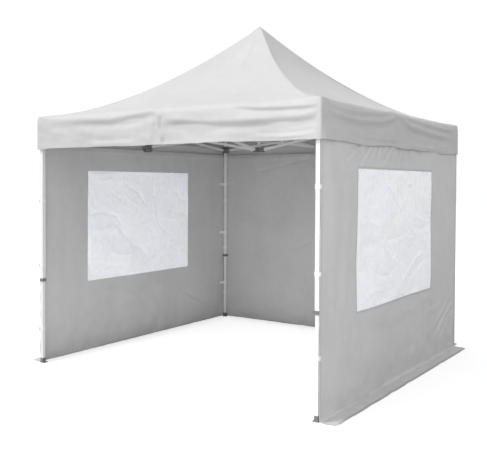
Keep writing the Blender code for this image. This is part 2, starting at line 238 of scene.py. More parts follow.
def sheet_object(name: str, points: Array, flat: Array, thickness: float, material: bpy.types.Material,
                 keep: Array | None = None, closed: bool = False) -> bpy.types.Object:
    """Make a thin closed cloth from a grid of points on its outer face.

    Args:
        name: the piece's name.
        points: rows by columns by 3; rows run down, columns to the right as seen from outside.
        flat: rows by columns by 2, each point's place on the flat cloth, in metres.
        thickness: thickness, which goes inward.
        material: the finish.
        keep: which cells of the grid are cloth; all of them if left out.
        closed: whether the last column joins the first.

    Returns:
        The piece.
    """
    rows, columns = points.shape[:2]
    index = np.arange(rows * columns).reshape(rows, columns)
    after = np.roll(index, -1, axis=1)
    flat_after = np.roll(flat, -1, axis=1)
    if closed:
        girth = 2.0 * flat[:, -1:, 0] - flat[:, -2:-1, 0]
        flat_after[:, -1, 0] = girth[:, 0]
    else:
        index, after, flat_after = index[:, :-1], after[:, :-1], flat_after[:, :-1]
        flat = flat[:, :-1]
    quads = np.stack([index[:-1], index[1:], after[1:], after[:-1]], axis=-1)
    corners = np.stack([flat[:-1], flat[1:], flat_after[1:], flat_after[:-1]], axis=-2)
    if keep is not None:
        quads, corners = quads[keep], corners[keep]
    quads = quads.reshape(-1, 4)
    mesh = bpy.data.meshes.new(name)
    mesh.from_pydata(points.reshape(-1, 3).tolist(), [], quads.tolist())
    layer = mesh.uv_layers.new(name="flat")
    layer.data.foreach_set("uv", corners.reshape(-1).astype(np.float32))
    shape = bmesh.new()
    shape.from_mesh(mesh)
    bmesh.ops.delete(shape, geom=[v for v in shape.verts if not v.link_faces], context="VERTS")
    bmesh.ops.remove_doubles(shape, verts=shape.verts[:], dist=1e-6)
    shape.to_mesh(mesh)
    shape.free()
    item = add_object(name, mesh)
    solid = item.modifiers.new("thickness", "SOLIDIFY")
    solid.thickness = thickness
    solid.offset = -1.0
    settle(item)
    finish_mesh(item, material)
    return item


def marks(low: float, high: float, step: float, stops: tuple[float, ...] = ()) -> Array:
    """Evenly spaced values from low to high that also land on the stops.

    Args:
        low: first value.
        high: last value.
        step: largest distance between neighbours.
        stops: values that have to be among them.

    Returns:
        The values in rising order.
    """
    knots = [low, *sorted(s for s in stops if low < s < high), high]
    parts = [np.linspace(a, b, max(1, math.ceil((b - a) / step)), endpoint=False)
             for a, b in zip(knots, knots[1:])]
    return np.concatenate([*parts, [high]])


# Node trees


class Wiring:
    """Adds nodes to one shader tree and joins them."""

    def __init__(self, tree: bpy.types.NodeTree) -> None:
        """Work on this tree."""
        self.tree = tree

    def feed(self, socket: bpy.types.NodeSocket, value: Any) -> None:
        """Join a socket to another one, or set its value."""
        if isinstance(value, bpy.types.NodeSocket):
            self.tree.links.new(value, socket)
        else:
            socket.default_value = value

    def add(self, kind: str, inputs: dict[str | int, Any] | None = None, **settings: Any) -> bpy.types.Node:
        """Add a node.

        Args:
            kind: the node's type name after ShaderNode.
            inputs: values or sockets for its inputs, by name or number.
            settings: the node's own settings.

        Returns:
            The node.
        """
        node = self.tree.nodes.new("ShaderNode" + kind)
        for name, value in settings.items():
            setattr(node, name, value)
        for key, value in (inputs or {}).items():
            self.feed(node.inputs[key], value)
        return node

    def sum(self, operation: str, a: Any, b: Any = 0.0, c: Any = 0.0) -> bpy.types.NodeSocket:
        """Result of one Math node on numbers or sockets."""
        return self.add("Math", {0: a, 1: b, 2: c}, operation=operation).outputs[0]

    def scaled(self, vector: Any, factor: Any) -> bpy.types.NodeSocket:
        """A vector times a number."""
        node = self.add("VectorMath", {0: vector}, operation="SCALE")
        self.feed(node.inputs["Scale"], factor)
        return node.outputs[0]

    def shade(self, factor: Any, first: Any, second: Any) -> bpy.types.NodeSocket:
        """Colour mixed from two."""
        node = self.add("Mix", data_type="RGBA", clamp_factor=True)
        self.feed(node.inputs[0], factor)
        self.feed(node.inputs[6], first)
        self.feed(node.inputs[7], second)
        return node.outputs[2]

    def span(self, value: Any, low: float, high: float, to_low: float, to_high: float) -> bpy.types.NodeSocket:
        """A number moved from one range to another, held at the ends."""
        return self.add("MapRange", {0: value, 1: low, 2: high, 3: to_low, 4: to_high}, clamp=True).outputs[0]

    def noise(self, vector: Any, scale: Any, detail: float = 3.0, roughness: float = 0.5,
              distortion: float = 0.0) -> bpy.types.NodeSocket:
        """Value of a Noise Texture."""
        node = self.add("TexNoise", {"Vector": vector, "Scale": scale, "Detail": detail,
                                     "Roughness": roughness, "Distortion": distortion})
        return node.outputs[0]


class Effect:
    """A shader node group with named inputs and outputs, built once and used by several finishes."""

    _built: dict[str, bpy.types.NodeTree] = {}

    name = ""
    inputs: tuple[tuple[str, str, Any], ...] = ()
    outputs: tuple[str, ...] = ()

    def wire(self, w: Wiring, given: bpy.types.NodeOutputs, made: bpy.types.NodeInputs) -> None:
        """Fill the group: given are its inputs inside, made its outputs inside."""
        raise NotImplementedError

    def tree(self) -> bpy.types.NodeTree:
        """The group's tree, built on the first call."""
        if self.name not in self._built:
            tree = bpy.data.node_groups.new(self.name, "ShaderNodeTree")
            for name, kind, value in self.inputs:
                socket = tree.interface.new_socket(name, in_out="INPUT", socket_type="NodeSocket" + kind)
                if value is not None:
                    socket.default_value = value
            for name in self.outputs:
                tree.interface.new_socket(name, in_out="OUTPUT", socket_type="NodeSocketFloat")
            start = tree.nodes.new("NodeGroupInput")
            end = tree.nodes.new("NodeGroupOutput")
            self.wire(Wiring(tree), start.outputs, end.inputs)
            self._built[self.name] = tree
        return self._built[self.name]

    def use(self, w: Wiring, **values: Any) -> bpy.types.NodeOutputs:
        """Place the group in a material.

        Args:
            w: the material's wiring.
            values: numbers or sockets for the inputs, by their names in lower case.

        Returns:
            The group's outputs.
        """
        node = w.tree.nodes.new("ShaderNodeGroup")
        node.node_tree = self.tree()
        for name, _, _ in self.inputs:
            if name.lower() in values:
                w.feed(node.inputs[name], values[name.lower()])
        return node.outputs


class Weave(Effect):
    """Plain weave of a polyester cloth, threads over and under each other."""

    name = "plain_weave"
    inputs = (("Vector", "Vector", None), ("Pitch", "Float", 0.0012))
    outputs = ("Height", "Gap")

    def wire(self, w: Wiring, given: bpy.types.NodeOutputs, made: bpy.types.NodeInputs) -> None:
        """Two crossing rows of round threads, each on top at every second crossing."""
        grid = w.scaled(given["Vector"], w.sum("DIVIDE", 1.0, given["Pitch"]))
        parts = w.add("SeparateXYZ", {0: grid}).outputs
        rounds = [w.sum("ABSOLUTE", w.sum("SINE", w.sum("MULTIPLY", parts[i], math.pi))) for i in (0, 1)]
        cells = [w.sum("FLOOR", parts[i]) for i in (0, 1)]
        odd = w.sum("PINGPONG", w.sum("ADD", cells[0], cells[1]), 1.0)
        upper = w.sum("MULTIPLY", rounds[0], odd)
        lower = w.sum("MULTIPLY", rounds[1], w.sum("SUBTRACT", 1.0, odd))
        height = w.sum("ADD", upper, lower)
        w.feed(made["Height"], height)
        # Gap marks the low places between the threads, which the finishes darken as painted shade.
        w.feed(made["Gap"], w.span(height, 0.0, 0.45, 1.0, 0.0))


class Crinkle(Effect):
    """Soft crumples that a packed cloth or film keeps: broad swells and sharper creases between them."""

    name = "crinkle"
    inputs = (("Vector", "Vector", None), ("Size", "Float", 0.1), ("Sharpness", "Float", 0.5), ("Detail", "Float", 3.0))
    outputs = ("Height", "Patch", "Crease")

    def wire(self, w: Wiring, given: bpy.types.NodeOutputs, made: bpy.types.NodeInputs) -> None:
        """Noise for the swells and the folded middle of another noise for the creases."""
        scale = w.sum("DIVIDE", 1.0, given["Size"])
        swell = w.noise(given["Vector"], scale, given["Detail"], 0.5, 0.3)
        second = w.noise(given["Vector"], w.sum("MULTIPLY", scale, 1.7), given["Detail"], 0.45, 0.8)
        crease = w.sum("SUBTRACT", 1.0, w.sum("MULTIPLY", w.sum("ABSOLUTE", w.sum("SUBTRACT", second, 0.5)), 5.0))
        crease = w.sum("MAXIMUM", crease, 0.0)
        keen = w.sum("MULTIPLY", crease, given["Sharpness"])
        w.feed(made["Height"], w.sum("ADD", swell, w.sum("MULTIPLY", keen, 0.4)))
        w.feed(made["Patch"], w.noise(given["Vector"], w.sum("MULTIPLY", scale, 0.35), 2.0, 0.5))
        w.feed(made["Crease"], crease)


class DarkerNearGround(Effect):
    """Darkening that grows towards the ground."""

    name = "darker_near_ground"
    inputs = (("Vector", "Vector", None), ("Reach", "Float", 0.5), ("Amount", "Float", 0.5))
    outputs = ("Mask",)

    def wire(self, w: Wiring, given: bpy.types.NodeOutputs, made: bpy.types.NodeInputs) -> None:
        """Strongest at the ground and broken up by noise."""
        height = w.add("SeparateXYZ", {0: given["Vector"]}).outputs[2]
        low = w.sum("SUBTRACT", 1.0, w.sum("DIVIDE", height, given["Reach"]))
        low = w.sum("POWER", w.sum("MINIMUM", w.sum("MAXIMUM", low, 0.0), 1.0), 1.8)
        blotch = w.span(w.noise(given["Vector"], 9.0, 5.0, 0.6), 0.35, 0.7, 0.35, 1.0)
        w.feed(made["Mask"], w.sum("MULTIPLY", w.sum("MULTIPLY", low, blotch), given["Amount"]))


class Grain(Effect):
    """Fine skin of a moulded or coated surface, with a slower unevenness under it."""

    name = "fine_grain"
    inputs = (("Vector", "Vector", None), ("Size", "Float", 0.001))
    outputs = ("Height", "Patch")

    def wire(self, w: Wiring, given: bpy.types.NodeOutputs, made: bpy.types.NodeInputs) -> None:
        """Fine noise, and the same noise fifteen times as large."""
        scale = w.sum("DIVIDE", 1.0, given["Size"])
        w.feed(made["Height"], w.noise(given["Vector"], scale, 2.0, 0.5))
        w.feed(made["Patch"], w.noise(given["Vector"], w.sum("DIVIDE", scale, 15.0), 3.0, 0.55))


class Stitches(Effect):
    """Two rows of lockstitch near the edges of a tape, whose flat place runs across from 0 to its width."""

    name = "double_stitch"
    inputs = (("Vector", "Vector", None), ("Inset", "Float", 0.15), ("Length", "Float", 0.0045))
    outputs = ("Thread", "Sink")

    def wire(self, w: Wiring, given: bpy.types.NodeOutputs, made: bpy.types.NodeInputs) -> None:
        """Short dashes on two lines, and the shallow groove that they pull the tape into."""
        parts = w.add("SeparateXYZ", {0: given["Vector"]}).outputs
        mirrored = w.sum("SUBTRACT", 0.5, w.sum("ABSOLUTE", w.sum("SUBTRACT", parts[1], 0.5)))
        off = w.sum("ABSOLUTE", w.sum("SUBTRACT", mirrored, given["Inset"]))
        line = w.span(off, 0.02, 0.045, 1.0, 0.0)
        beat = w.sum("FRACT", w.sum("DIVIDE", parts[0], given["Length"]))
        dash = w.span(w.sum("ABSOLUTE", w.sum("SUBTRACT", beat, 0.5)), 0.3, 0.42, 1.0, 0.0)
        w.feed(made["Thread"], w.sum("MULTIPLY", line, dash))
        w.feed(made["Sink"], w.span(off, 0.0, 0.14, 1.0, 0.0))


WEAVE, CRINKLE, DARKER_NEAR_GROUND, GRAIN, STITCHES = Weave(), Crinkle(), DarkerNearGround(), Grain(), Stitches()


# Finishes


@dataclass(frozen=True)
class Finish:
    """What every finish has: a name, a colour and a roughness."""

    name: str
    colour: tuple[float, float, float]
    roughness: float

    def start(self) -> tuple[bpy.types.Material, Wiring, bpy.types.Node]:
        """A new material, its wiring and its Principled shader."""
        material = bpy.data.materials.new(self.name)
        material.use_nodes = True
        shader = material.node_tree.nodes["Principled BSDF"]
        shader.inputs["Base Color"].default_value = (*self.colour, 1.0)
        shader.inputs["Roughness"].default_value = self.roughness
        return material, Wiring(material.node_tree), shader

    def tone(self, factor: float) -> tuple[float, float, float, float]:
        """The finish's colour made lighter or darker."""
        red, green, blue = self.colour
        return (red * factor, green * factor, blue * factor, 1.0)


@dataclass(frozen=True)
class CoatedCloth(Finish):
    """Woven polyester with a water-tight coating."""

    pitch: float = 0.0012
    crumple: float = 0.16
    crumple_depth: float = 0.004
    ground_darkening: float = 0.0
    sheen: float = 0.12

    def build(self) -> bpy.types.Material:
        """The material."""
        material, w, shader = self.start()
        flat = w.add("UVMap", uv_map="flat").outputs[0]
        place = w.add("TexCoord").outputs["Object"]
        weave = WEAVE.use(w, vector=flat, pitch=self.pitch)
        crinkle = CRINKLE.use(w, vector=place, size=self.crumple, sharpness=0.6)
        fine = CRINKLE.use(w, vector=place, size=self.crumple / 5, sharpness=0.5)
        darker_near_ground = DARKER_NEAR_GROUND.use(w, vector=place, reach=0.45, amount=self.ground_darkening)
        colour = w.shade(w.span(crinkle["Patch"], 0.35, 0.65, 0.0, 1.0), self.tone(0.96), self.tone(1.02))
        colour = w.shade(w.span(fine["Patch"], 0.35, 0.65, 0.0, 0.45), colour, self.tone(1.06))
        slub = w.noise(w.add("Mapping", {"Vector": flat, "Scale": (14.0, 160.0, 1.0)}).outputs[0], 1.0, 2.0)
        colour = w.shade(w.span(slub, 0.56, 0.72, 0.0, 0.5), colour, self.tone(0.90))
        # Painted shade: the gaps between the threads are darkened.
        colour = w.shade(w.sum("MULTIPLY", weave["Gap"], 0.12), colour, self.tone(0.7))
        # The cloth is made darker towards the ground.
        colour = w.shade(darker_near_ground["Mask"], colour, (0.33, 0.322, 0.31, 1.0))
        w.feed(shader.inputs["Base Color"], colour)
        rough = w.span(fine["Patch"], 0.3, 0.7, self.roughness - 0.06, self.roughness + 0.06)
        w.feed(shader.inputs["Roughness"], rough)
        shader.inputs["Sheen Weight"].default_value = self.sheen
        shader.inputs["Sheen Roughness"].default_value = 0.4
        shader.inputs["Specular IOR Level"].default_value = 0.35
        soft = w.add("Bump", {"Height": w.sum("ADD", crinkle["Height"], w.sum("MULTIPLY", fine["Height"], 0.35)),
                              "Strength": 0.6, "Distance": self.crumple_depth})
        thread = w.add("Bump", {"Height": weave["Height"], "Strength": 0.35, "Distance": 0.0002,
                                "Normal": soft.outputs[0]})
        w.feed(shader.inputs["Normal"], thread.outputs[0])
        return material


@dataclass(frozen=True)
class SewnTape(Finish):
    """Binding or seam tape with a row of stitches along each edge."""

    thread: tuple[float, float, float] = (0.72, 0.72, 0.73)
    inset: float = 0.14

    def build(self) -> bpy.types.Material:
        """The material."""
        material, w, shader = self.start()
        flat = w.add("UVMap", uv_map="flat").outputs[0]
        place = w.add("TexCoord").outputs["Object"]
        stitches = STITCHES.use(w, vector=flat, inset=self.inset)
        grain = GRAIN.use(w, vector=place, size=0.0012)
        colour = w.shade(w.span(grain["Patch"], 0.3, 0.7, 0.0, 1.0), self.tone(0.95), self.tone(1.03))
        # Painted shade: the grooves along the stitches are darkened.
        colour = w.shade(w.sum("MULTIPLY", stitches["Sink"], 0.25), colour, self.tone(0.75))
        colour = w.shade(stitches["Thread"], colour, (*self.thread, 1.0))
        w.feed(shader.inputs["Base Color"], colour)
        w.feed(shader.inputs["Roughness"], w.span(grain["Height"], 0.3, 0.7, self.roughness - 0.05,
                                                  self.roughness + 0.05))
        height = w.sum("SUBTRACT", w.sum("MULTIPLY", grain["Height"], 0.2), stitches["Sink"])
        height = w.sum("ADD", height, w.sum("MULTIPLY", stitches["Thread"], 0.8))
        bump = w.add("Bump", {"Height": height, "Strength": 0.6, "Distance": 0.0006})
        w.feed(shader.inputs["Normal"], bump.outputs[0])
        shader.inputs["Specular IOR Level"].default_value = 0.3
        return material


@dataclass(frozen=True)
class MilkyFilm(Finish):
    """Soft clear plastic gone milky, with the creases of its packing, and a painted glow that stands in for light
    passing through it.
    """

    cover: float = 0.80
    painted_glow: float = 0.3

    def build(self) -> bpy.types.Material:
        """The material."""
        material, w, shader = self.start()
        place = w.add("TexCoord").outputs["Object"]
        large = CRINKLE.use(w, vector=place, size=0.24, sharpness=1.0, detail=2.0)
        small = CRINKLE.use(w, vector=place, size=0.05, sharpness=1.0, detail=2.0)
        haze = w.span(large["Patch"], 0.42, 0.62, 0.0, 1.0)
        red, green, blue = self.colour
        warm = (red * 1.005, green, blue * 0.955, 1.0)
        colour = w.shade(haze, self.tone(1.0), warm)
        colour = w.shade(w.sum("MULTIPLY", large["Crease"], 0.25), colour, self.tone(1.06))
        # Painted shade: the small creases are darkened in the colour.
        colour = w.shade(w.sum("MULTIPLY", small["Crease"], 0.12), colour, self.tone(0.88))
        w.feed(shader.inputs["Base Color"], colour)
        w.feed(shader.inputs["Roughness"], w.span(small["Patch"], 0.3, 0.7, self.roughness - 0.07,
                                                  self.roughness + 0.1))
        w.feed(shader.inputs["Alpha"], w.span(large["Crease"], 0.0, 1.0, self.cover - 0.02, self.cover + 0.06))
        # Painted light: a faint emission stands in for daylight that would scatter through the film.
        shader.inputs["Emission Color"].default_value = (0.93, 0.95, 1.0, 1.0)
        shader.inputs["Emission Strength"].default_value = self.painted_glow
        shader.inputs["Coat Weight"].default_value = 0.25
        shader.inputs["Coat Roughness"].default_value = 0.12
        height = w.sum("ADD", w.sum("MULTIPLY", large["Height"], 1.5), w.sum("MULTIPLY", small["Height"], 0.5))
        bump = w.add("Bump", {"Height": height, "Strength": 0.5, "Distance": 0.0045})
        w.feed(shader.inputs["Normal"], bump.outputs[0])
        return material


NYLON_GREY = (0.165, 0.166, 0.170)


@dataclass(frozen=True)
class PowderCoat(Finish):
    """Baked coating on steel, with its orange peel and the odd rubbed place.

    Where joint_half is given, the middle of a bar within that distance of the tent's middle planes is
    its nylon joint.
    """

    joint_half: float = 0.0

    def build(self) -> bpy.types.Material:
        """The material."""
        material, w, shader = self.start()
        place = w.add("TexCoord").outputs["Object"]
        peel = GRAIN.use(w, vector=place, size=0.003)
        rub = GRAIN.use(w, vector=place, size=0.0009)
        worn = w.span(rub["Patch"], 0.66, 0.74, 0.0, 0.5)
        colour = w.shade(w.span(peel["Patch"], 0.3, 0.7, 0.0, 1.0), self.tone(0.97), self.tone(1.01))
        colour = w.shade(worn, colour, self.tone(0.78))
        rough = w.span(peel["Patch"], 0.3, 0.7, self.roughness - 0.05, self.roughness + 0.07)
        if self.joint_half:
            parts = w.add("SeparateXYZ", {0: place}).outputs
            across = w.sum("ABSOLUTE", parts[0])
            along = w.sum("ABSOLUTE", w.sum("SUBTRACT", parts[1], CENTRE_Y))
            joint = w.sum("LESS_THAN", w.sum("MINIMUM", across, along), self.joint_half)
            nylon = w.shade(w.span(rub["Patch"], 0.5, 0.75, 0.0, 0.6), (*NYLON_GREY, 1.0), (0.28, 0.28, 0.29, 1.0))
            colour = w.shade(joint, colour, nylon)
            rough = w.sum("ADD", rough, w.sum("MULTIPLY", joint, 0.2))
        w.feed(shader.inputs["Base Color"], colour)
        w.feed(shader.inputs["Roughness"], rough)
        bump = w.add("Bump", {"Height": peel["Height"], "Strength": 0.25, "Distance": 0.0003})
        w.feed(shader.inputs["Normal"], bump.outputs[0])
        shader.inputs["Coat Weight"].default_value = 0.15
        return material


@dataclass(frozen=True)
class MouldedNylon(Finish):
    """Glass-filled nylon with a spark-eroded skin, scuffed grey where it is handled."""

    def build(self) -> bpy.types.Material:
        """The material."""
        material, w, shader = self.start()
        place = w.add("TexCoord").outputs["Object"]
        skin = GRAIN.use(w, vector=place, size=0.0008)
        scuff = GRAIN.use(w, vector=place, size=0.0014)
        rubbed = w.span(scuff["Patch"], 0.58, 0.75, 0.0, 0.6)
        colour = w.shade(w.span(skin["Patch"], 0.3, 0.7, 0.0, 1.0), self.tone(0.85), self.tone(1.15))
        colour = w.shade(rubbed, colour, self.tone(1.9))
        w.feed(shader.inputs["Base Color"], colour)
        w.feed(shader.inputs["Roughness"], w.span(scuff["Patch"], 0.3, 0.7, self.roughness - 0.08,
                                                  self.roughness + 0.1))
        bump = w.add("Bump", {"Height": skin["Height"], "Strength": 0.4, "Distance": 0.0003})
        w.feed(shader.inputs["Normal"], bump.outputs[0])
        return material


@dataclass(frozen=True)
class Webbing(Finish):
    """Narrow woven strap with its ribs across."""

    def build(self) -> bpy.types.Material:
        """The material."""
        material, w, shader = self.start()
        flat = w.add("UVMap", uv_map="flat").outputs[0]
        weave = WEAVE.use(w, vector=flat, pitch=0.0018)
        grain = GRAIN.use(w, vector=w.add("TexCoord").outputs["Object"], size=0.001)
        # Painted shade: the gaps between the ribs are darkened.
        colour = w.shade(w.sum("MULTIPLY", weave["Gap"], 0.4), self.tone(1.0), self.tone(0.8))
        w.feed(shader.inputs["Base Color"], colour)
        w.feed(shader.inputs["Roughness"], w.span(grain["Patch"], 0.3, 0.7, self.roughness - 0.05,
                                                  self.roughness + 0.05))
        bump = w.add("Bump", {"Height": weave["Height"], "Strength": 0.6, "Distance": 0.0005})
        w.feed(shader.inputs["Normal"], bump.outputs[0])
        return material


class Finishes:
    """Every finish of the tent, built once."""

    def __init__(self) -> None:
        """Build the materials."""
        grey = (0.47, 0.47, 0.472)
        self.canopy = CoatedCloth("canopy_cloth", grey, 0.62).build()
        self.hem = SewnTape("stitched_hem", (0.485, 0.485, 0.487), 0.66, thread=(0.56, 0.56, 0.56)).build()
        self.wall = CoatedCloth("wall_cloth", (0.545, 0.545, 0.547), 0.66, ground_darkening=0.35).build()
        self.tape = SewnTape("seam_tape", (0.47, 0.47, 0.475), 0.7).build()
        self.binding = SewnTape("edge_binding", (0.37, 0.37, 0.38), 0.7, thread=(0.5, 0.5, 0.5)).build()
        # Each window's film has its own painted glow, set for the light that falls on its side.
        self.film_left = MilkyFilm("window_film_left", (0.72, 0.735, 0.775), 0.30, painted_glow=0.24).build()
        self.film_right = MilkyFilm("window_film_right", (0.73, 0.735, 0.765), 0.30, painted_glow=0.21).build()
        self.steel = PowderCoat("white_powder_coat", (0.74, 0.74, 0.742), 0.36).build()
        self.jointed_steel = PowderCoat("white_powder_coat_with_nylon_joint", (0.74, 0.74, 0.742), 0.36,
                                        joint_half=0.0465).build()
        self.nylon = MouldedNylon("charcoal_nylon", NYLON_GREY, 0.55).build()
        self.webbing = Webbing("white_webbing", (0.78, 0.78, 0.78), 0.75).build()


# Canopy


@dataclass
class Canopy:
    """The sewn cover: four roof gores and the valance round them, one continuous cloth."""

    half: float = 1.5
    eave: float = 2.318
    apex: float = 3.25
    power: float = 1.65
    low: float = 2.017
    thickness: float = 0.0016
    eave_round: float = 0.012
    eave_soft: float = 0.050
    ridge_round: float = 0.008
    corner_round: float = 0.014
    roof_rows: int = 38
    turn_rows: int = 8
    valance_step: float = 0.0085
    columns: int = 112
    sag: float = 0.014
    flare: float = 0.002
    stand_off: float = 0.0070
    mid_stand_off: float = 0.0030
    hem: float = 0.028

    FOLDS = {
        Side.FRONT: (
            Fold(((-1.30, 2.245), (-0.80, 2.231), (-0.538, 2.221), (-0.184, 2.263), (0.03, 2.308)), 0.030, 0.0105,
                 FoldKind.ROLL, 0.45, 0.08),
            Fold(((-0.088, 2.01), (-0.05, 2.16), (-0.020, 2.30)), 0.011, 0.0085, FoldKind.ROLL, 0.15),
            Fold(((0.052, 2.00), (0.022, 2.15), (0.012, 2.29)), 0.011, 0.0105, FoldKind.ROLL, 0.15),
            Fold(((0.04, 2.215), (0.148, 2.187), (0.45, 2.163), (0.862, 2.150), (1.329, 2.160), (1.49, 2.186)),
                 0.029, 0.0125, FoldKind.ROLL, 0.12, 0.05),
            Fold(((0.70, 2.288), (0.80, 2.277), (0.959, 2.252), (1.329, 2.243), (1.49, 2.250)), 0.015, 0.0062,
                 FoldKind.ROLL, 0.2, 0.1),
            Fold(((1.005, 2.292), (1.285, 2.296), (1.43, 2.282)), 0.009, -0.0035),
            Fold(((0.90, 2.064), (1.222, 2.056), (1.47, 2.073)), 0.014, -0.0045, FoldKind.ROLL, 0.3, 0.1),
            Fold(((1.195, 2.02), (1.245, 2.075)), 0.010, 0.005),
            Fold(((-0.90, 2.062), (-0.5, 2.052), (-0.12, 2.07)), 0.020, -0.0035, FoldKind.ROLL),
            Fold(((0.25, 2.26), (0.55, 2.235), (0.85, 2.215)), 0.018, 0.0035),
        ),
        Side.RIGHT: (
            Fold(((-1.49, 2.205), (-1.208, 2.187), (-0.85, 2.170), (-0.487, 2.190), (-0.20, 2.243), (-0.06, 2.305)),
                 0.027, 0.0125, FoldKind.ROLL, 0.15, 0.06),
            Fold(((-1.45, 2.262), (-1.177, 2.241), (-0.85, 2.240), (-0.5, 2.262), (-0.12, 2.306)), 0.016, 0.0070,
                 FoldKind.ROLL, 0.2, 0.08),
            Fold(((-0.06, 2.305), (0.02, 2.235), (0.12, 2.198), (0.5, 2.170), (0.9, 2.154), (1.35, 2.150)), 0.025,
                 0.0115, FoldKind.ROLL, 0.06, 0.3),
            Fold(((-0.02, 2.31), (0.15, 2.266), (0.6, 2.245), (1.05, 2.232), (1.40, 2.238)), 0.016, 0.0070,
                 FoldKind.ROLL, 0.1, 0.2),
            Fold(((-0.064, 2.34), (-0.058, 2.24)), 0.022, 0.006),
            Fold(((-1.0, 2.06), (-0.5, 2.052), (0.0, 2.066)), 0.016, 0.004, FoldKind.ROLL),
            Fold(((0.1, 2.055), (0.5, 2.062), (0.95, 2.05)), 0.016, -0.004, FoldKind.ROLL),
        ),
        Side.REAR: (
            Fold(((-1.45, 2.21), (-1.0, 2.18), (-0.5, 2.172), (-0.1, 2.22), (0.05, 2.305)), 0.028, 0.0115,
                 FoldKind.ROLL, 0.15, 0.08),
            Fold(((0.06, 2.305), (0.2, 2.215), (0.7, 2.17), (1.2, 2.165), (1.49, 2.20)), 0.028, 0.0115,
                 FoldKind.ROLL, 0.08, 0.1),
            Fold(((-1.35, 2.262), (-0.9, 2.248), (-0.45, 2.27)), 0.016, 0.006, FoldKind.ROLL),
            Fold(((0.35, 2.265), (0.9, 2.243), (1.35, 2.25)), 0.016, 0.006, FoldKind.ROLL),
            Fold(((0.035, 2.00), (0.05, 2.15), (0.055, 2.29)), 0.012, 0.007, FoldKind.RIDGE, 0.15),
            Fold(((-0.52, 2.01), (-0.56, 2.16)), 0.014, 0.005),
        ),
        Side.LEFT: (
            Fold(((-1.49, 2.20), (-1.1, 2.175), (-0.6, 2.172), (-0.2, 2.23), (0.0, 2.305)), 0.028, 0.0115,
                 FoldKind.ROLL, 0.1, 0.08),
            Fold(((0.0, 2.305), (0.15, 2.22), (0.5, 2.185), (0.9, 2.178), (1.40, 2.195)), 0.028, 0.011,
                 FoldKind.ROLL, 0.08, 0.2),
            Fold(((-0.95, 2.25), (-0.55, 2.245), (-0.1, 2.30)), 0.016, 0.006, FoldKind.ROLL),
            Fold(((0.3, 2.27), (0.8, 2.246), (1.3, 2.255)), 0.016, 0.006, FoldKind.ROLL),
            Fold(((-0.72, 2.01), (-0.69, 2.15)), 0.013, 0.006),
        ),
    }

    ROOF_FOLDS = {
        side: (
            Fold(((1.44, 2.345), (1.26, 2.45), (0.98, 2.66 + lift)), 0.018, 0.0045, FoldKind.RIDGE, 0.12, 0.7),
            Fold(((1.40, 2.335), (1.10, 2.40), (0.70, 2.44 + lift)), 0.020, 0.0040, FoldKind.RIDGE, 0.12, 0.7),
            Fold(((-1.44, 2.345), (-1.22, 2.46 + lift), (-0.95, 2.60)), 0.018, 0.0045, FoldKind.RIDGE, 0.12, 0.7),
            Fold(((-1.41, 2.335), (-1.12, 2.385), (-0.78, 2.41 + lift)), 0.018, 0.0035, FoldKind.RIDGE, 0.12, 0.7),
            Fold(((0.02, 3.62), (0.12 + lift, 3.25), (0.26, 2.85)), 0.022, 0.0040, FoldKind.RIDGE, 0.2, 0.7),
            Fold(((-0.03, 3.60), (-0.10, 3.30), (-0.24 - lift, 3.00)), 0.020, -0.0035, FoldKind.RIDGE, 0.2, 0.7),
        )
        for side, lift in zip(Side, (0.0, 0.03, -0.02, 0.015))
    }

    DROOP = {
        Side.FRONT: (Fold(((-1.7, 0.0), (-1.3, 0.0)), 0.3, -0.008), Fold(((-0.5, 0.0), (-0.1, 0.0)), 0.15, -0.004),
                     Fold(((0.4, 0.0), (0.8, 0.0)), 0.12, 0.004), Fold(((1.0, 0.0), (1.3, 0.0)), 0.12, -0.003)),
        Side.RIGHT: (Fold(((-1.15, 0.0), (-0.42, 0.0)), 0.3, -0.014, FoldKind.RIDGE, 0.5),
                     Fold(((-0.46, 0.0), (-0.08, 0.0)), 0.1, 0.006, FoldKind.RIDGE, 0.5),
                     Fold(((-0.20, 0.0), (0.22, 0.0)), 0.06, -0.007, FoldKind.RIDGE, 0.5),
                     Fold(((0.05, 0.0), (0.75, 0.0)), 0.3, -0.007, FoldKind.RIDGE, 0.5),
                     Fold(((0.5, 0.0), (1.45, 0.0)), 0.3, -0.014, FoldKind.RIDGE, 0.5)),
        Side.REAR: (Fold(((-1.0, 0.0), (-0.5, 0.0)), 0.2, -0.010), Fold(((-0.4, 0.0), (-0.1, 0.0)), 0.1, 0.006),
                    Fold(((0.2, 0.0), (0.9, 0.0)), 0.3, -0.009)),
        Side.LEFT: (Fold(((-0.9, 0.0), (-0.3, 0.0)), 0.25, -0.009), Fold(((-0.2, 0.0), (0.15, 0.0)), 0.1, 0.006),
                    Fold(((0.3, 0.0), (1.0, 0.0)), 0.3, -0.010)),
    }

    def roof_height(self, outward: Array) -> Array:
        """Height of the roof's outer face at a distance from the middle."""
        return self.eave + (self.apex - self.eave) * np.clip(1.0 - outward / self.half, 0.0, 1.0) ** self.power

    def stations(self) -> Array:
        """Places of the columns along one side, as shares of its half from -1 up to the next corner."""
        edge = 1.0 - 0.03
        middle = np.linspace(-edge, edge, self.columns - 9)
        left = np.linspace(-1.0, -edge, 6)[:-1]
        right = np.linspace(edge, 1.0, 6)[1:-1]
        return np.concatenate([left, middle, right])

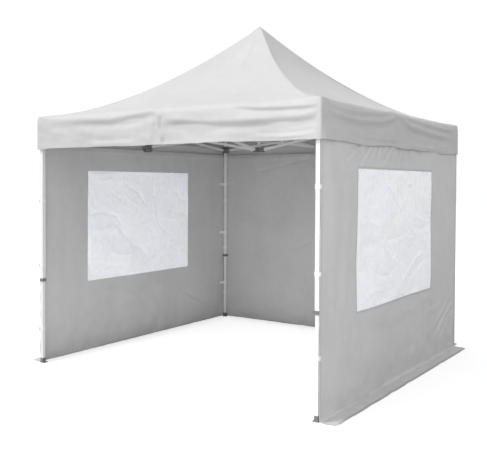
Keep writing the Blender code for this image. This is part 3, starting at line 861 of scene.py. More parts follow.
    def section(self, side: Side, shares: Array) -> tuple[Array, Array, Array]:
        """Section of the cloth from the apex to the hem at each column of a side.

        Args:
            side: the side.
            shares: the columns, as shares of the side's half.

        Returns:
            Outward distance, height, and place on the cloth as a height that goes on upward over the eave.
        """
        soft = self.eave_round + (self.eave_soft - self.eave_round) * ease((1.0 - np.abs(shares)) / 0.14)
        roof = (self.half - soft)[None, :] * (np.linspace(0.0, 1.0, self.roof_rows) ** 0.92)[:, None]
        turn = np.linspace(0.0, math.pi / 2, self.turn_rows + 1)[1:, None]
        start = self.roof_height(self.half - soft)
        out_turn = self.half - soft * (1.0 - np.sin(turn))
        up_turn = start - soft * (1.0 - np.cos(turn))
        hem_share = 1.0 - self.hem / (self.eave - self.low)
        part = marks(0.0, 1.0, self.valance_step / (self.eave - self.low), (hem_share,))[1:, None]
        edge = shares * self.half
        low = self.low + sum(fold.push(edge, np.zeros(edge.shape)) for fold in self.DROOP[side])
        up_hang = up_turn[-1] + (low - up_turn[-1]) * part
        height = np.concatenate([self.roof_height(roof), up_turn, up_hang])
        outward = np.concatenate([roof, out_turn, np.full(up_hang.shape, self.half)])
        outward = outward + self.stand_off * ease((self.eave + 0.01 - height) / 0.08)
        over = np.broadcast_to(start, roof.shape) + (self.half - soft)[None, :] - roof
        return outward, height, np.concatenate([over, up_turn, up_hang])

    def grid(self) -> tuple[Array, Array]:
        """Points of the outer face and their places on the flat cloth."""
        shares = self.stations()
        blocks, flats = [], []
        for number, side in enumerate(Side):
            m, high, where = self.section(side, shares)
            step_out, step_up = np.gradient(m, axis=0), np.gradient(high, axis=0)
            step = np.maximum(np.hypot(step_out, step_up), 1e-9)
            tilt_out, tilt_up = -step_up / step, step_out / step
            down = np.concatenate([np.zeros((1, m.shape[1])),
                                   np.cumsum(np.hypot(np.diff(m, axis=0), np.diff(high, axis=0)), axis=0)])
            rounding = self.ridge_round + (self.corner_round - self.ridge_round) * ease((m / self.half - 0.9) / 0.1)
            r = np.minimum(rounding, m * 0.35)
            along = shares[None, :] * m
            place_on = shares[None, :] * np.minimum(m, self.half)
            over = np.clip((np.abs(along) - (m - r)) / np.maximum(r, 1e-9), 0.0, 1.0) * math.pi / 4
            bent = np.abs(along) > m - r
            reach = np.where(bent, m - r + r * np.cos(over), m)
            along = np.where(bent, np.sign(along) * (m - r + r * np.sin(over)), along)
            inner = 1.0 - ease((np.abs(shares[None, :]) - 0.966) / 0.032)
            push = self.push(side, place_on, where) * inner
            roof = ease((self.half - m) / 0.25)
            push = push - self.sag * (1.0 - shares[None, :] ** 2) * np.sin(math.pi * m / self.half) * roof
            blocks.append(side.place(along, reach + push * tilt_out, high + push * tilt_up))
            girth = np.broadcast_to((number * 2 + 1 + shares[None, :]) * self.half, along.shape)
            flats.append(np.stack([girth, down], axis=-1))
        return np.concatenate(blocks, axis=1), np.concatenate(flats, axis=1)

    def push(self, side: Side, along: Array, where: Array) -> Array:
        """Outward moves of one side's cloth.

        Args:
            side: the side.
            along: place along it.
            where: height on the cloth, which goes on upward over the eave.

        Returns:
            The moves, never deep enough to reach the frame or the walls.
        """
        seed = 11 * (list(Side).index(side) + 1)
        hanging = ease((2.36 - where) / 0.04)
        total = sum(fold.push(along, where) for fold in self.FOLDS[side]) * ease((2.45 - where) / 0.08)
        total = total + sum(fold.push(along, where) for fold in self.ROOF_FOLDS[side])
        calm = 0.35 + 0.65 * ease((self.eave - where) / 0.14)
        total = total + Waves(0.9, 0.25, 0.0042, seed, 0.6).push(along, where) * hanging * calm
        total = total + Waves(0.3, 0.1, 0.0011, seed + 5, 0.6).push(along, where) * hanging * calm
        total = total + Waves(1.6, 0.5, 0.004, seed + 1).push(along, where) * (1.0 - hanging)
        total = total + Waves(0.5, 0.2, 0.0009, seed + 2).push(along, where) * (1.0 - hanging)
        low = np.clip((self.eave - where) / (self.eave - self.low), 0.0, 1.0)
        total = total + self.mid_stand_off * ease((self.eave + 0.02 - where) / 0.09) + self.flare * low
        total = total + 0.0012 * ease((self.low + self.hem - where) / 0.004)
        floor = -self.stand_off * ease((self.eave - where) / 0.07)
        held = floor + 0.5 * (total - floor + np.sqrt((total - floor) ** 2 + 4e-6))
        return np.where(where < self.eave, held, total)

    def build(self, finishes: Finishes) -> list[bpy.types.Object]:
        """Make the canopy and its tapes, and say what they stand for.

        Args:
            finishes: the tent's finishes.

        Returns:
            The pieces.
        """
        points, flat = self.grid()
        cover = sheet_object("canopy", points, flat, self.thickness, finishes.canopy, closed=True)
        tapes = [self.ridge_tape(number, points, flat, finishes) for number in range(4)]
        tapes.append(self.hem_tape(points, flat, finishes))
        for piece in (cover, *tapes):
            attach(piece, TENT)
        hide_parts(*(f"{kind}_{side.name.lower()}" for kind in ("roof_panel", "valance") for side in Side))
        return [cover, *tapes]

    def hem_tape(self, points: Array, flat: Array, finishes: Finishes) -> bpy.types.Object:
        """Turned-up and stitched hem round the valance's lower edge.

        Args:
            points: the canopy's points.
            flat: their places on the flat cloth.
            finishes: the tent's finishes.

        Returns:
            The hem.
        """
        rows = slice(-5, None)
        edge = points[rows]
        right = np.roll(edge, -1, axis=1) - np.roll(edge, 1, axis=1)
        outward = np.cross(np.gradient(edge, axis=0), right)
        outward /= np.linalg.norm(outward, axis=2, keepdims=True)
        grid = edge + outward * 0.0010
        grid[-1, :, 2] -= 0.0008
        across = np.broadcast_to(np.linspace(0.0, 1.0, edge.shape[0])[:, None], edge.shape[:2])
        places = np.stack([flat[rows, :, 0], across], axis=-1)
        return sheet_object("valance_hem", grid, places, 0.0009, finishes.hem, closed=True)

    def ridge_tape(self, number: int, points: Array, flat: Array, finishes: Finishes) -> bpy.types.Object:
        """Seam tape over one ridge, from near the apex to the hem.

        Args:
            number: which corner, by the side that starts there.
            points: the canopy's points.
            flat: their places on the flat cloth.
            finishes: the tent's finishes.

        Returns:
            The tape.
        """
        columns = points.shape[1] // 4
        start = number * columns
        rows = slice(4, self.roof_rows + 5)
        ridge = points[rows, start]
        before = points[rows, (start - 8) % points.shape[1]] - ridge
        after = points[rows, start + 8] - ridge
        width = 0.013
        before = width * before / np.linalg.norm(before, axis=1, keepdims=True)
        after = width * after / np.linalg.norm(after, axis=1, keepdims=True)
        run = np.gradient(ridge, axis=0)
        face_a, face_b = np.cross(before, run), np.cross(run, after)
        up_a = -face_a / np.linalg.norm(face_a, axis=1, keepdims=True)
        up_b = -face_b / np.linalg.norm(face_b, axis=1, keepdims=True)
        lift = 0.0011
        both = (up_a + up_b) / np.linalg.norm(up_a + up_b, axis=1, keepdims=True)
        grid = np.stack([ridge + before + up_a * lift, ridge + before * 0.5 + up_a * lift, ridge + both * lift * 1.2,
                         ridge + after * 0.5 + up_b * lift, ridge + after + up_b * lift], axis=1)
        across = np.linspace(0.0, 1.0, 5)
        down = flat[rows, 0, 1]
        places = np.stack([np.broadcast_to(down[:, None], (len(down), 5)),
                           np.broadcast_to(across[None, :], (len(down), 5))], axis=-1)
        name = ("front_left", "front_right", "rear_right", "rear_left")[number]
        return sheet_object(f"ridge_tape_{name}", grid, places, 0.0009, finishes.tape)


# Walls


@dataclass(frozen=True)
class Opening:
    """A window in a wall, in the wall's own measures."""

    left: float
    right: float
    low: float
    high: float


@dataclass
class Wall:
    """A wall of cloth that hangs inside the valance and ends in a flap on the ground."""

    side: Side
    node: str
    half: float
    folds: tuple[Fold, ...]
    seed: int
    window: Opening | None = None
    top: float = 2.06
    out: float = 1.4957
    flap_out: float = 1.6307
    ground: float = 0.0022
    turn_round: float = 0.02
    thickness: float = 0.0016
    step: float = 0.0165
    corner: float = 0.055
    slack: float = 1.0
    open_end: float = 0.0
    open_gap: float = 0.004
    tuck: float = 0.0
    top_out: float = 0.004
    crumple: float = 1.15

    def levels(self) -> tuple[float, float, float]:
        """Distances down the cloth to the start of the turn, its end, and the flap's edge."""
        start = self.top - self.ground - self.turn_round
        end = start + self.turn_round * math.pi / 2
        return start, end, end + self.flap_out - self.out - self.turn_round

    def push(self, along: Array, height: Array) -> Array:
        """Outward moves of the upright cloth.

        Args:
            along: place along the side.
            height: height above the ground.

        Returns:
            The moves, small at the top edge and at the legs.
        """
        total = sum((fold.push(along, height) for fold in self.folds), np.zeros(along.shape))
        total = total + Waves(1.3, 0.4, 0.0055 * self.slack, self.seed, 1.6).push(along, height)
        total = total + Waves(0.4, 0.15, 0.0013 * self.slack, self.seed + 1, 1.4).push(along, height)
        low = ease((0.5 - height) / 0.5)
        total = total + Waves(0.5, 0.14, 0.003, self.seed + 2, 0.8).push(along, height) * low
        edge = ease((self.half - np.abs(along)) / 0.16)
        total = (total + self.top_out * ease((height - 1.86) / 0.13)) * edge * ease((2.056 - height) / 0.055)
        near = 0.0005 + 0.03 * edge
        return np.where(total < 0.0, -near * np.tanh(-total / near), total)

    def place(self, along: Array, down: Array, lift: float = 0.0) -> Array:
        """Points of the cloth.

        Args:
            along: place along the side.
            down: distance down the cloth from its top edge.
            lift: distance outward from the cloth's outer face.

        Returns:
            The points.
        """
        start, end, last = self.levels()
        turn = np.clip((down - start) / self.turn_round, 0.0, math.pi / 2)
        upright = self.top - np.minimum(down, start)
        tip = np.clip((self.half - np.abs(along)) / self.corner, 0.0, 1.0)
        rounded = self.corner * (1.0 - np.sqrt(np.clip(1.0 - (1.0 - tip) ** 2, 0.0, 1.0)))
        run = np.clip(down - end, 0.0, None) * (1.0 - rounded / (last - end))
        push = self.push(along, upright) * np.where(down < start, 1.0, np.cos(turn) ** 2)
        ripple = Waves(0.45, 0.12, 0.0028, self.seed + 3, 0.5).push(along, down)
        raised = np.maximum(ripple, 0.0) * ease((down - start) / 0.05)
        shift = Waves(0.5, 0.12, 0.0022, self.seed + 4, 1.0).push(along * 0.0, upright) - self.open_gap
        closed = -0.0004 - self.tuck * ease((1.05 - upright) / 1.05)
        shift = np.where(along * self.open_end > 0.0, shift * ease((2.03 - upright) / 0.03), closed)
        shift = np.sign(along) * shift * ease((np.abs(along) - self.half + 0.12) / 0.12)
        outward = self.out + self.turn_round * (1.0 - np.cos(turn)) + run + (push + lift) * np.cos(turn)
        height = upright - self.turn_round * np.sin(turn) + (raised + lift) * np.sin(turn)
        return self.side.place(along + shift, outward, height)

    def patch(self, name: str, along: Array, down: Array, material: bpy.types.Material, lift: float = 0.0,
              thickness: float = 0.0011, keep: Array | None = None, across: Array | None = None) -> bpy.types.Object:
        """Make a cloth that lies on this wall.

        Args:
            name: the piece's name.
            along: the columns.
            down: the rows.
            material: the finish.
            lift: distance outward from the wall's outer face.
            thickness: the cloth's thickness.
            keep: the cells that are cloth.
            across: flat places for a tape, rows by columns by 2; the wall's own if left out.

        Returns:
            The piece.
        """
        u, v = np.meshgrid(along, down)
        flat = np.stack([u, v], axis=-1) if across is None else across
        return sheet_object(name, self.place(u, v, lift), flat, thickness, material, keep)

    def tape(self, name: str, along: Array, down: Array, upright: bool, material: bpy.types.Material,
             lift: float = 0.0012, thickness: float = 0.0011) -> bpy.types.Object:
        """Make a stitched tape on this wall, along it or up it.

        Args:
            name: the piece's name.
            along: the columns.
            down: the rows.
            upright: whether it runs down the wall.
            material: the finish.
            lift: distance outward from the wall's outer face.
            thickness: the tape's thickness.

        Returns:
            The tape.
        """
        u, v = np.meshgrid(along, down)
        share_u = (u - along[0]) / (along[-1] - along[0])
        share_v = (v - down[0]) / (down[-1] - down[0])
        across = np.stack([v, share_u] if upright else [u, share_v], axis=-1)
        return self.patch(name, along, down, material, lift, thickness, across=across)

    def build(self, finishes: Finishes) -> list[bpy.types.Object]:
        """Make the wall, its binding, its window frame and its window film.

        Args:
            finishes: the tent's finishes.

        Returns:
            The pieces.
        """
        start, end, last = self.levels()
        hole = self.window
        stops_u = (hole.left, hole.right) if hole else ()
        stops_v = (self.top - hole.high, self.top - hole.low) if hole else ()
        along = marks(-self.half, self.half, self.step, (*stops_u, -self.half + 0.025, self.half - 0.025))
        down = np.concatenate([marks(0.0, start, self.step, stops_v)[:-1], marks(start, end, 0.005)[:-1],
                               marks(end, last, 0.014)])
        keep = None
        if hole:
            u, v = (along[:-1] + along[1:]) / 2, self.top - (down[:-1] + down[1:]) / 2
            keep = ~((u[None, :] > hole.left) & (u[None, :] < hole.right)
                     & (v[:, None] > hole.low) & (v[:, None] < hole.high))
        cloth = self.patch(self.node + "_cloth", along, down, finishes.wall, 0.0, self.thickness, keep)
        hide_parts(self.node)
        parts = self.trim(along, down, finishes)
        if hole:
            parts.append(self.window_frame(finishes))
        made = [cloth, *parts]
        for piece in made:
            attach(piece, TENT)
        if hole:
            made.append(self.film(finishes))
        return made

    def trim(self, along: Array, down: Array, finishes: Finishes) -> list[bpy.types.Object]:
        """Bindings down both edges, along the flap, and the hem at the top inside.

        Args:
            along: the wall's columns.
            down: the wall's rows.
            finishes: the tent's finishes.

        Returns:
            The pieces.
        """
        start, _, last = self.levels()
        name = self.side.name.lower()
        wide = 0.025
        rows = down[down > 0.01]
        sides = {"near": along[along <= -self.half + wide + 1e-6], "far": along[along >= self.half - wide - 1e-6]}
        parts = [self.tape(f"wall_edge_{name}_{end}", columns, rows, True, finishes.tape, 0.0009, 0.0034)
                 for end, columns in sides.items()]
        middle = along[(along > -self.half + self.corner) & (along < self.half - self.corner)]
        flap = marks(last - 0.022, last + 0.001, 0.006)
        parts.append(self.tape(f"flap_binding_{name}", middle, flap, False, finishes.binding, 0.0009, 0.0028))
        hem = marks(0.0, 0.04, 0.01)
        inside = along[(along > -self.half + 0.03) & (along < self.half - 0.03)]
        parts.append(self.tape(f"top_hem_{name}", inside, hem, False, finishes.hem,
                               -self.thickness - 0.0002, 0.0010))
        return parts

    def window_frame(self, finishes: Finishes) -> bpy.types.Object:
        """Band of tape sewn round the window on the outside.

        Args:
            finishes: the tent's finishes.

        Returns:
            The band.
        """
        hole, band = self.window, 0.018
        along = marks(hole.left - band, hole.right + band, self.step, (hole.left, hole.right))
        low, high = self.top - hole.high, self.top - hole.low
        down = marks(low - band, high + band, self.step, (low, high))
        u, v = (along[:-1] + along[1:]) / 2, (down[:-1] + down[1:]) / 2
        keep = ~((u[None, :] > hole.left) & (u[None, :] < hole.right) & (v[:, None] > low) & (v[:, None] < high))
        grid_u, grid_v = np.meshgrid(along, down)
        far = np.maximum(np.maximum(hole.left - grid_u, grid_u - hole.right),
                         np.maximum(low - grid_v, grid_v - high))
        across = np.stack([grid_u + grid_v, far / band], axis=-1)
        return self.patch(f"window_band_{self.side.name.lower()}", along, down, finishes.hem, 0.0008, 0.0008, keep,
                          across)

    def film(self, finishes: Finishes) -> bpy.types.Object:
        """The window film, crumpled and held flat at its edges inside the cloth.

        Args:
            finishes: the tent's finishes.

        Returns:
            The film.
        """
        hole, tuck, mesh_step = self.window, 0.008, 0.0095
        along = marks(hole.left - tuck, hole.right + tuck, mesh_step)
        down = marks(self.top - hole.high - tuck, self.top - hole.low + tuck, mesh_step)
        u, v = np.meshgrid(along, down)
        name = self.side.name.lower()
        points = self.place(u, v, -0.0006)
        out = np.array([*self.side.value, 0.0])
        edge = np.minimum(np.minimum(u - hole.left, hole.right - u),
                          np.minimum(v - (self.top - hole.high), (self.top - hole.low) - v))
        from_front = u - hole.left if self.side is Side.RIGHT else hole.right - u
        below = v - (self.top - hole.high)
        total = Waves(0.8, 0.35, 0.0030, self.seed * 7, 1.0, 12).push(u, v)
        for crease in (*FILM_CREASES, *small_creases(self.seed, hole.right - hole.left, hole.high - hole.low)):
            total = total + crease.push(from_front, below)
        total = np.clip((total - total.mean()) * self.crumple, -0.018, 0.018) * ease(edge / 0.035)
        points = points + out * total[..., None]
        flat = np.stack([u, v], axis=-1)
        item = sheet_object(f"window_film_{name}", points, flat, 0.0005,
                            finishes.film_left if self.side is Side.LEFT else finishes.film_right)
        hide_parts(f"window_{name}")
        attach(item, TENT)
        return item


FILM_CREASES = (
    Fold(((0.84, 1.02), (1.05, 0.89), (1.29, 0.78), (1.46, 0.75)), 0.020, 0.0075, FoldKind.CREASE, 0.2),
    Fold(((0.95, 1.07), (1.21, 0.91), (1.50, 0.80)), 0.016, -0.0055, FoldKind.CREASE, 0.2),
    Fold(((0.42, 0.58), (0.65, 0.75), (0.78, 0.81), (0.92, 0.96)), 0.018, 0.0065, FoldKind.CREASE, 0.2),
    Fold(((0.28, 0.83), (0.48, 0.89), (0.63, 0.89), (0.78, 0.81)), 0.018, -0.0070, FoldKind.CREASE, 0.25),
    Fold(((0.50, 0.60), (0.90, 0.57), (1.05, 0.51)), 0.016, -0.0050, FoldKind.CREASE, 0.25),
    Fold(((0.02, 0.44), (0.21, 0.42), (0.42, 0.47), (0.50, 0.58)), 0.018, 0.0055, FoldKind.CREASE, 0.2),
    Fold(((0.02, 0.62), (0.39, 0.61), (0.52, 0.72)), 0.030, -0.0060, FoldKind.RIDGE, 0.25),
    Fold(((0.80, 0.38), (0.90, 0.31), (0.99, 0.24), (1.00, 0.13), (1.18, 0.09)), 0.015, 0.0055, FoldKind.CREASE, 0.2),
    Fold(((1.30, 0.27), (1.39, 0.20), (1.50, 0.34)), 0.014, 0.0045, FoldKind.CREASE, 0.25),
    Fold(((0.50, 0.10), (0.74, 0.22), (0.88, 0.38)), 0.016, 0.0055, FoldKind.CREASE, 0.2),
    Fold(((1.18, 0.40), (1.36, 0.45), (1.60, 0.47)), 0.012, 0.0040, FoldKind.CREASE, 0.2),
    Fold(((1.15, 0.51), (1.40, 0.54), (1.60, 0.50)), 0.012, -0.0045, FoldKind.CREASE, 0.2),
    Fold(((1.28, 0.62), (1.45, 0.56), (1.59, 0.59)), 0.012, 0.0040, FoldKind.CREASE, 0.2),
    Fold(((0.14, 0.11), (0.32, 0.08), (0.44, 0.17)), 0.014, -0.0045, FoldKind.CREASE, 0.25),
    Fold(((0.08, 1.06), (0.30, 0.98), (0.56, 1.02)), 0.018, 0.0045, FoldKind.CREASE, 0.25),
    Fold(((1.03, 0.30), (1.09, 0.58), (1.26, 0.72)), 0.016, 0.0050, FoldKind.CREASE, 0.25),
)


def small_creases(seed: int, width: float, height: float, count: int = 64) -> list[Fold]:
    """Short creases strewn over a window film, most of them lying flatter than they stand.

    Args:
        seed: number that sets their places.
        width: the film's width.
        height: the film's height.
        count: how many there are.

    Returns:
        The creases, from the film's front upper corner.
    """
    draw = np.random.default_rng(seed)
    creases = []
    for _ in range(count):
        x, y = draw.uniform(0.0, width), draw.uniform(0.0, height)
        turn = draw.normal(0.0, 0.75)
        length = draw.uniform(0.07, 0.30)
        bend = turn + draw.normal(0.0, 0.5)
        middle = (x + length / 2 * math.cos(turn), y + length / 2 * math.sin(turn))
        end = (middle[0] + length / 2 * math.cos(bend), middle[1] + length / 2 * math.sin(bend))
        depth = draw.uniform(0.0010, 0.0034) * draw.choice((-1.0, 1.0))
        creases.append(Fold(((x, y), middle, end), draw.uniform(0.008, 0.020), depth, FoldKind.CREASE, 0.3))
    return creases


# Straps


@dataclass
class LegStrap:
    """Loop of webbing that ties a wall's edge to a leg."""

    name: str
    corner: tuple[int, int]
    side: Side
    height: float
    leg_at: float = 1.4684
    wide: float = 0.034
    thick: float = 0.0014
    wall_out: float = 1.4957
    tail: float = 0.012
    edge: float = 1.4914
    tab: float = 0.0

    def outline(self) -> Array:
        """Run of the strap seen from above, as (along, outward) points of the wall's side."""
        out_y = self.side.value[1]
        across, deep = self.corner
        away = math.copysign(1.0, (across if out_y else deep) * (-1.0 if out_y > 0 or self.side.value[0] < 0 else 1.0))
        reach = 0.0205 if self.height > 0.78 else 0.0175
        points: list[tuple[float, float]] = [(self.edge - self.tail, self.wall_out + 0.0022),
                                             (self.edge - 0.002, self.wall_out + 0.0026),
                                             (self.edge + 0.0035, self.wall_out - 0.001)]
        corner_round = 0.005
        turns = [(90, 1, 1), (0, 1, -1), (-90, -1, -1)]
        if not self.tab:
            turns.append((-180, -1, 1))
        for turn_from, cu, co in turns:
            middle = (self.leg_at + cu * (reach - corner_round), self.leg_at + co * (reach - corner_round))
            for step in range(4):
                angle = math.radians(turn_from - step * 30)
                points.append((middle[0] + corner_round * math.cos(angle), middle[1] + corner_round * math.sin(angle)))
        if self.tab:
            inner = self.wall_out - 0.0045
            points.extend((self.leg_at - reach - away_in, inner - sink)
                          for away_in, sink in ((0.010, 0.004), (0.016, 0.001), (0.030, 0.0), (0.045, 0.0),
                                                (self.tab, 0.0)))
        else:
            points.append((self.leg_at + 0.006, self.leg_at + reach + 0.0012))
        return np.array([(away * u, o) for u, o in points])

    def build(self, finishes: Finishes, wall: "Wall") -> bpy.types.Object:
        """Make the strap.

        Args:
            finishes: the tent's finishes.
            wall: the wall that it is sewn to, whose folds its inner tab follows.

        Returns:
            The strap.
        """
        line = self.outline()
        run = np.concatenate([[0.0], np.cumsum(np.hypot(*np.diff(line, axis=0).T))])
        levels = np.linspace(self.wide / 2, -self.wide / 2, 5)
        bow = 0.0006 * np.cos(np.linspace(-math.pi / 2, math.pi / 2, 5))
        sewn = np.zeros(len(line))
        if self.tab:
            sewn[-4:] = 1.0
        rows = []
        for z, b in zip(levels, bow):
            height = np.full(len(line), self.height + z)
            follow = np.minimum(wall.push(line[:, 0], height), 0.004) * sewn
            rows.append(self.side.place(line[:, 0], line[:, 1] + b + follow, height))
        points = np.stack(rows, axis=0)
        flat = np.stack(np.meshgrid(run, levels), axis=-1)
        item = sheet_object(self.name, points, flat, self.thick, finishes.webbing)
        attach(item, TENT)
        return item


# Frame


@dataclass
class FrameDressing:
    """Finishes of the steel frame and its plastic fittings."""

    STEEL = ("upper_leg", "lower_leg", "side_truss", "ceiling_truss", "mast")
    SOFT_EDGE = {"foot": 0.0012, "leg_collar": 0.001, "corner_bracket": 0.001, "slider": 0.001, "hub": 0.001,
                 "mast_cap": 0.0015}

    def dress(self, finishes: Finishes) -> int:
        """Give each solid of the frame its finish and slightly rounded edges.

        Args:
            finishes: the tent's finishes.

        Returns:
            How many solids were dressed.
        """
        count = 0
        for name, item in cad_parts.items():
            if item.hide_render:
                continue
            plastic = any(name.startswith(kind) for kind in self.SOFT_EDGE)
            item.data.materials.clear()
            steel = finishes.jointed_steel if name.startswith("side_truss") else finishes.steel
            item.data.materials.append(finishes.nylon if plastic else steel)
            width = next((w for kind, w in self.SOFT_EDGE.items() if name.startswith(kind)), 0.0006)
            edge = item.modifiers.new("soft_edges", "BEVEL")
            edge.width = width
            edge.segments = 2
            edge.limit_method = "ANGLE"
            edge.angle_limit = math.radians(35)
            edge.harden_normals = True
            item.data.shade_smooth()
            item.data.set_sharp_from_angle(angle=math.radians(35))
            count += 1
        return count


# Studio


@dataclass(frozen=True)
class Studio:
    """Camera, soft light and a pale floor."""

    camera_at: tuple[float, float, float] = (3.8988, -6.03045, 1.6966)
    yaw: float = 0.6011
    pitch: float = -0.0216
    roll: float = 0.0048
    focal_px: float = 716.14
    picture: tuple[int, int] = (487, 456)
    slide_px: tuple[float, float] = (-0.66, -28.62)
    sensor: float = 36.0
    dim_side: tuple[float, float, float] = (0.85, 0.53, 0.0)
    sky_slope: float = 0.17

    def camera(self) -> None:
        """Set the camera as the tent is seen from."""
        forward = Vector((-math.sin(self.yaw) * math.cos(self.pitch), math.cos(self.yaw) * math.cos(self.pitch),
                          math.sin(self.pitch)))
        level = Vector((math.cos(self.yaw), math.sin(self.yaw), 0.0))
        upward = level.cross(forward)
        right = level * math.cos(self.roll) + upward * math.sin(self.roll)
        up = -level * math.sin(self.roll) + upward * math.cos(self.roll)
        data = bpy.data.cameras.new("camera")
        width = self.picture[0]
        data.sensor_width = self.sensor
        data.lens = self.focal_px / width * self.sensor
        data.shift_x = -self.slide_px[0] / width
        data.shift_y = self.slide_px[1] / width
        data.clip_end = 200.0
        item = bpy.data.objects.new("camera", data)
        turn = Matrix((right, up, -forward)).transposed().to_4x4()
        item.matrix_world = Matrix.Translation(self.camera_at) @ turn
        bpy.context.scene.collection.objects.link(item)
        bpy.context.scene.camera = item

    def lamp(self, name: str, at: tuple[float, float, float], aim: tuple[float, float, float], size: float,
             watts: float, shadow: bool = True) -> None:
        """Add a soft square lamp that the camera doesn't see.

        Args:
            name: the lamp's name.
            at: its place.
            aim: the point that it faces.
            size: its side.
            watts: its power.
            shadow: whether it casts shadows.
        """
        data = bpy.data.lights.new(name, "AREA")
        data.size = size
        data.energy = watts
        data.use_shadow = shadow
        item = bpy.data.objects.new(name, data)
        item.location = at
        item.rotation_euler = (Vector(aim) - Vector(at)).to_track_quat("-Z", "Y").to_euler()
        item.visible_camera = False
        bpy.context.scene.collection.objects.link(item)

    def sun(self, name: str, toward: tuple[float, float, float], spread: float, strength: float) -> None:
        """Add a soft far light.

        Args:
            name: the light's name.
            toward: direction to the light.
            spread: how wide the light is, in degrees.
            strength: its strength.
        """
        data = bpy.data.lights.new(name, "SUN")
        data.angle = math.radians(spread)
        data.energy = strength
        item = bpy.data.objects.new(name, data)
        item.rotation_euler = Vector(toward).to_track_quat("Z", "Y").to_euler()
        bpy.context.scene.collection.objects.link(item)

    def build(self) -> None:
        """Make the camera, the lights and the floor."""
        scene = bpy.context.scene
        scene.view_settings.view_transform = "Standard"
        scene.view_settings.look = "None"
        self.camera()
        world = bpy.data.worlds.new("studio")
        scene.world = world
        world.use_nodes = True
        sky = Wiring(world.node_tree)
        background = world.node_tree.nodes["Background"]
        background.inputs["Color"].default_value = (1.0, 1.0, 1.0, 1.0)
        toward = sky.add("VectorMath", {0: sky.add("TexCoord").outputs["Generated"], 1: self.dim_side},
                         operation="DOT_PRODUCT").outputs["Value"]
        falling = sky.span(toward, -1.0, 1.0, 1.0 + self.sky_slope, 1.0 - self.sky_slope)
        seen = sky.add("LightPath").outputs["Is Camera Ray"]
        sky.feed(background.inputs["Strength"], sky.add("Mix", {0: seen, 2: falling, 3: 1.0}).outputs[0])
        self.sun("key", (-0.47, -0.55, 0.69), 24.0, 2.08)
        self.lamp("bounce", (0.0, CENTRE_Y, 0.03), (0.0, CENTRE_Y, 3.0), 2.5, 5.0)
        self.lamp("front", (2.6, -5.7, 1.1), (-0.5, 0.3, 1.1), 2.4, 48.0)
        self.lamp("right_front", (4.3, -4.6, 0.6), (-0.5, 0.0, 0.6), 2.0, 33.0)
        self.lamp("inside_left", (1.15, 0.25, 0.80), (-1.5, 0.75, 0.95), 1.6, 5.6)
        mesh = bpy.data.meshes.new("floor")
        far = 60.0
        mesh.from_pydata([(-far, -far, -0.0006), (far, -far, -0.0006), (far, far, -0.0006), (-far, far, -0.0006)], [],
                         [(0, 1, 2, 3)])
        floor = add_object("floor", mesh)
        material = bpy.data.materials.new("pale_floor")
        material.use_nodes = True
        w = Wiring(material.node_tree)
        shader = material.node_tree.nodes["Principled BSDF"]
        place = w.add("TexCoord").outputs["Object"]
        cloud = w.noise(place, 0.8, 2.0)
        outside = w.shade(cloud, (0.39, 0.39, 0.39, 1.0), (0.41, 0.41, 0.41, 1.0))
        # Painted light: the floor under the tent is paler than outside, which offsets the tent's shade there and sends
        # more light back up inside.
        parts = w.add("SeparateXYZ", {0: place}).outputs
        reach = w.sum("MAXIMUM", w.sum("ABSOLUTE", parts[0]),
                      w.sum("ABSOLUTE", w.sum("SUBTRACT", parts[1], CENTRE_Y)))
        w.feed(shader.inputs["Base Color"], w.shade(w.span(reach, 1.30, 1.46, 1.0, 0.0), outside,
                                                    (0.80, 0.80, 0.80, 1.0)))
        shader.inputs["Roughness"].default_value = 0.9
        shader.inputs["Specular IOR Level"].default_value = 0.1
        shader.inputs["Emission Color"].default_value = (1.0, 1.0, 1.0, 1.0)
        seen = w.add("LightPath").outputs["Is Camera Ray"]
        w.feed(shader.inputs["Emission Strength"], w.sum("MULTIPLY", seen, 0.66))
        floor.data.materials.append(material)


WINDOW = {"right": Opening(-0.8755, 0.7395, 0.705, 1.82), "left": Opening(-0.7395, 0.8755, 0.705, 1.82)}


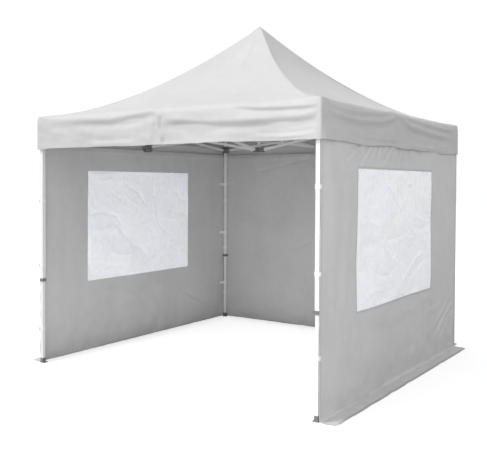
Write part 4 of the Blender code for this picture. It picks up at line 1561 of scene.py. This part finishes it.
def walls() -> list[Wall]:
    """The three walls with their folds."""
    right = (
        Fold(((-0.79, 2.045), (-0.863, 1.985), (-1.00, 1.92), (-1.13, 1.85)), 0.015, 0.0090, FoldKind.ROLL, 0.12, 0.5),
        Fold(((-0.63, 2.045), (-0.697, 1.975), (-0.77, 1.90), (-0.88, 1.78)), 0.015, 0.0105, FoldKind.ROLL, 0.12, 0.5),
        Fold(((-0.55, 2.045), (-0.60, 1.93), (-0.65, 1.85)), 0.012, 0.0075, FoldKind.RIDGE, 0.12, 0.5),
        Fold(((-0.45, 2.045), (-0.483, 1.985), (-0.50, 1.88)), 0.013, 0.0100, FoldKind.ROLL, 0.12, 0.5),
        Fold(((-0.33, 2.045), (-0.37, 1.95), (-0.41, 1.89)), 0.011, 0.0065, FoldKind.RIDGE, 0.12, 0.5),
        Fold(((-0.19, 2.045), (-0.254, 1.99), (-0.33, 1.92), (-0.45, 1.82)), 0.015, 0.0115, FoldKind.ROLL, 0.12, 0.5),
        Fold(((0.03, 2.045), (-0.03, 1.96), (-0.10, 1.84)), 0.015, 0.0085, FoldKind.ROLL, 0.12, 0.5),
        Fold(((0.26, 2.045), (0.20, 1.88)), 0.020, 0.0060, FoldKind.RIDGE, 0.12, 0.5),
        Fold(((0.56, 2.045), (0.50, 1.90)), 0.016, 0.0050, FoldKind.ROLL, 0.12, 0.5),
        Fold(((0.93, 0.15), (1.07, 0.277), (1.185, 0.348), (1.46, 0.46)), 0.019, 0.0110, FoldKind.ROLL, 0.3, 0.1),
        Fold(((0.78, 0.24), (0.96, 0.32), (1.15, 0.41), (1.43, 0.58)), 0.020, 0.0085, FoldKind.ROLL),
        Fold(((1.24, 0.08), (1.40, 0.22), (1.47, 0.36)), 0.016, 0.0090),
        Fold(((0.60, 0.48), (0.92, 0.475), (1.10, 0.54)), 0.020, 0.0050),
        Fold(((0.45, 0.63), (0.67, 0.62), (0.88, 0.55)), 0.020, 0.0050),
        Fold(((1.12, 1.75), (1.20, 0.9)), 0.040, 0.0060),
        Fold(((-1.02, 1.85), (-1.10, 0.7)), 0.045, 0.0080),
        Fold(((-1.25, 1.8), (-1.28, 0.5)), 0.045, 0.0060),
        Fold(((-0.95, 0.62), (-0.2, 0.5), (0.6, 0.56)), 0.05, 0.0035, FoldKind.ROLL),
    )
    rear = (
        Fold(((1.05, 1.88), (1.032, 1.846), (0.518, 0.9), (0.3, 0.5)), 0.011, 0.0055, FoldKind.RIDGE, 0.1, 0.4),
        Fold(((1.032, 1.846), (0.6, 1.93), (0.185, 2.03)), 0.012, 0.0045, FoldKind.RIDGE, 0.1),
        Fold(((0.60, 0.85), (0.176, 1.038)), 0.012, 0.0045, FoldKind.RIDGE, 0.2),
        Fold(((-0.9, 1.9), (-0.4, 0.7)), 0.020, 0.0060),
        Fold(((-1.2, 0.5), (-0.7, 0.25)), 0.020, 0.0060, FoldKind.ROLL),
        Fold(((-0.7, 2.045), (-0.78, 1.86)), 0.016, 0.0060, FoldKind.ROLL, 0.12, 0.5),
        Fold(((0.25, 2.045), (0.18, 1.84)), 0.016, 0.0065, FoldKind.ROLL, 0.12, 0.5),
        Fold(((0.7, 2.045), (0.66, 1.88)), 0.014, 0.0050, FoldKind.ROLL, 0.12, 0.5),
    )
    left = (
        Fold(((0.9, 0.6), (0.2, 0.45), (-0.6, 0.55)), 0.05, 0.0040, FoldKind.ROLL),
        Fold(((1.15, 1.8), (1.2, 0.6)), 0.05, 0.0050),
        Fold(((-1.05, 1.9), (-1.1, 0.5)), 0.05, 0.0050),
        Fold(((-1.1, 0.2), (-0.6, 0.42)), 0.020, 0.0060, FoldKind.ROLL),
    )
    return [
        Wall(Side.RIGHT, "wall_right", 1.4914, right, 101, WINDOW["right"], open_end=-1.0, tuck=0.024),
        Wall(Side.REAR, "wall_rear", 1.4957, rear, 202, tuck=0.002),
        Wall(Side.LEFT, "wall_left", 1.4914, left, 303, WINDOW["left"], slack=0.7, open_end=1.0, open_gap=0.016,
             crumple=2.0),
    ]


def straps() -> list[LegStrap]:
    """The straps, three to each upright edge of a wall."""
    plan = {
        "right_front": ((1, -1), Side.RIGHT, (1.68, 1.06, 0.46)),
        "left_front": ((-1, -1), Side.LEFT, (1.525, 0.92, 0.318)),
        "left_rear": ((-1, 1), Side.LEFT, (1.69, 1.08, 0.436)),
        "rear_left": ((-1, 1), Side.REAR, (1.485, 0.885, 0.318)),
        "rear_right": ((1, 1), Side.REAR, (1.50, 0.90, 0.33)),
        "right_rear": ((1, 1), Side.RIGHT, (1.68, 1.06, 0.46)),
    }
    tabs = {"left_rear": 0.075, "right_front": 0.06, "right_rear": 0.06}
    return [LegStrap(f"strap_{name}_{number + 1}", corner, side, height, tab=tabs.get(name, 0.0))
            for name, (corner, side, heights) in plan.items() for number, height in enumerate(heights)]


def main() -> None:
    """Build the whole scene."""
    logging.basicConfig(level=logging.INFO, format="%(name)s: %(message)s")
    finishes = Finishes()
    for piece in Canopy().build(finishes):
        LOG.info("made %s", piece.name)
    hung = {wall.side: wall for wall in walls()}
    for wall in hung.values():
        for piece in wall.build(finishes):
            LOG.info("made %s", piece.name)
    for strap in straps():
        LOG.info("made %s", strap.build(finishes, hung[strap.side]).name)
    LOG.info("dressed %d solids of the frame", FrameDressing().dress(finishes))
    Studio().build()


if __name__ == "__main__":
    main()
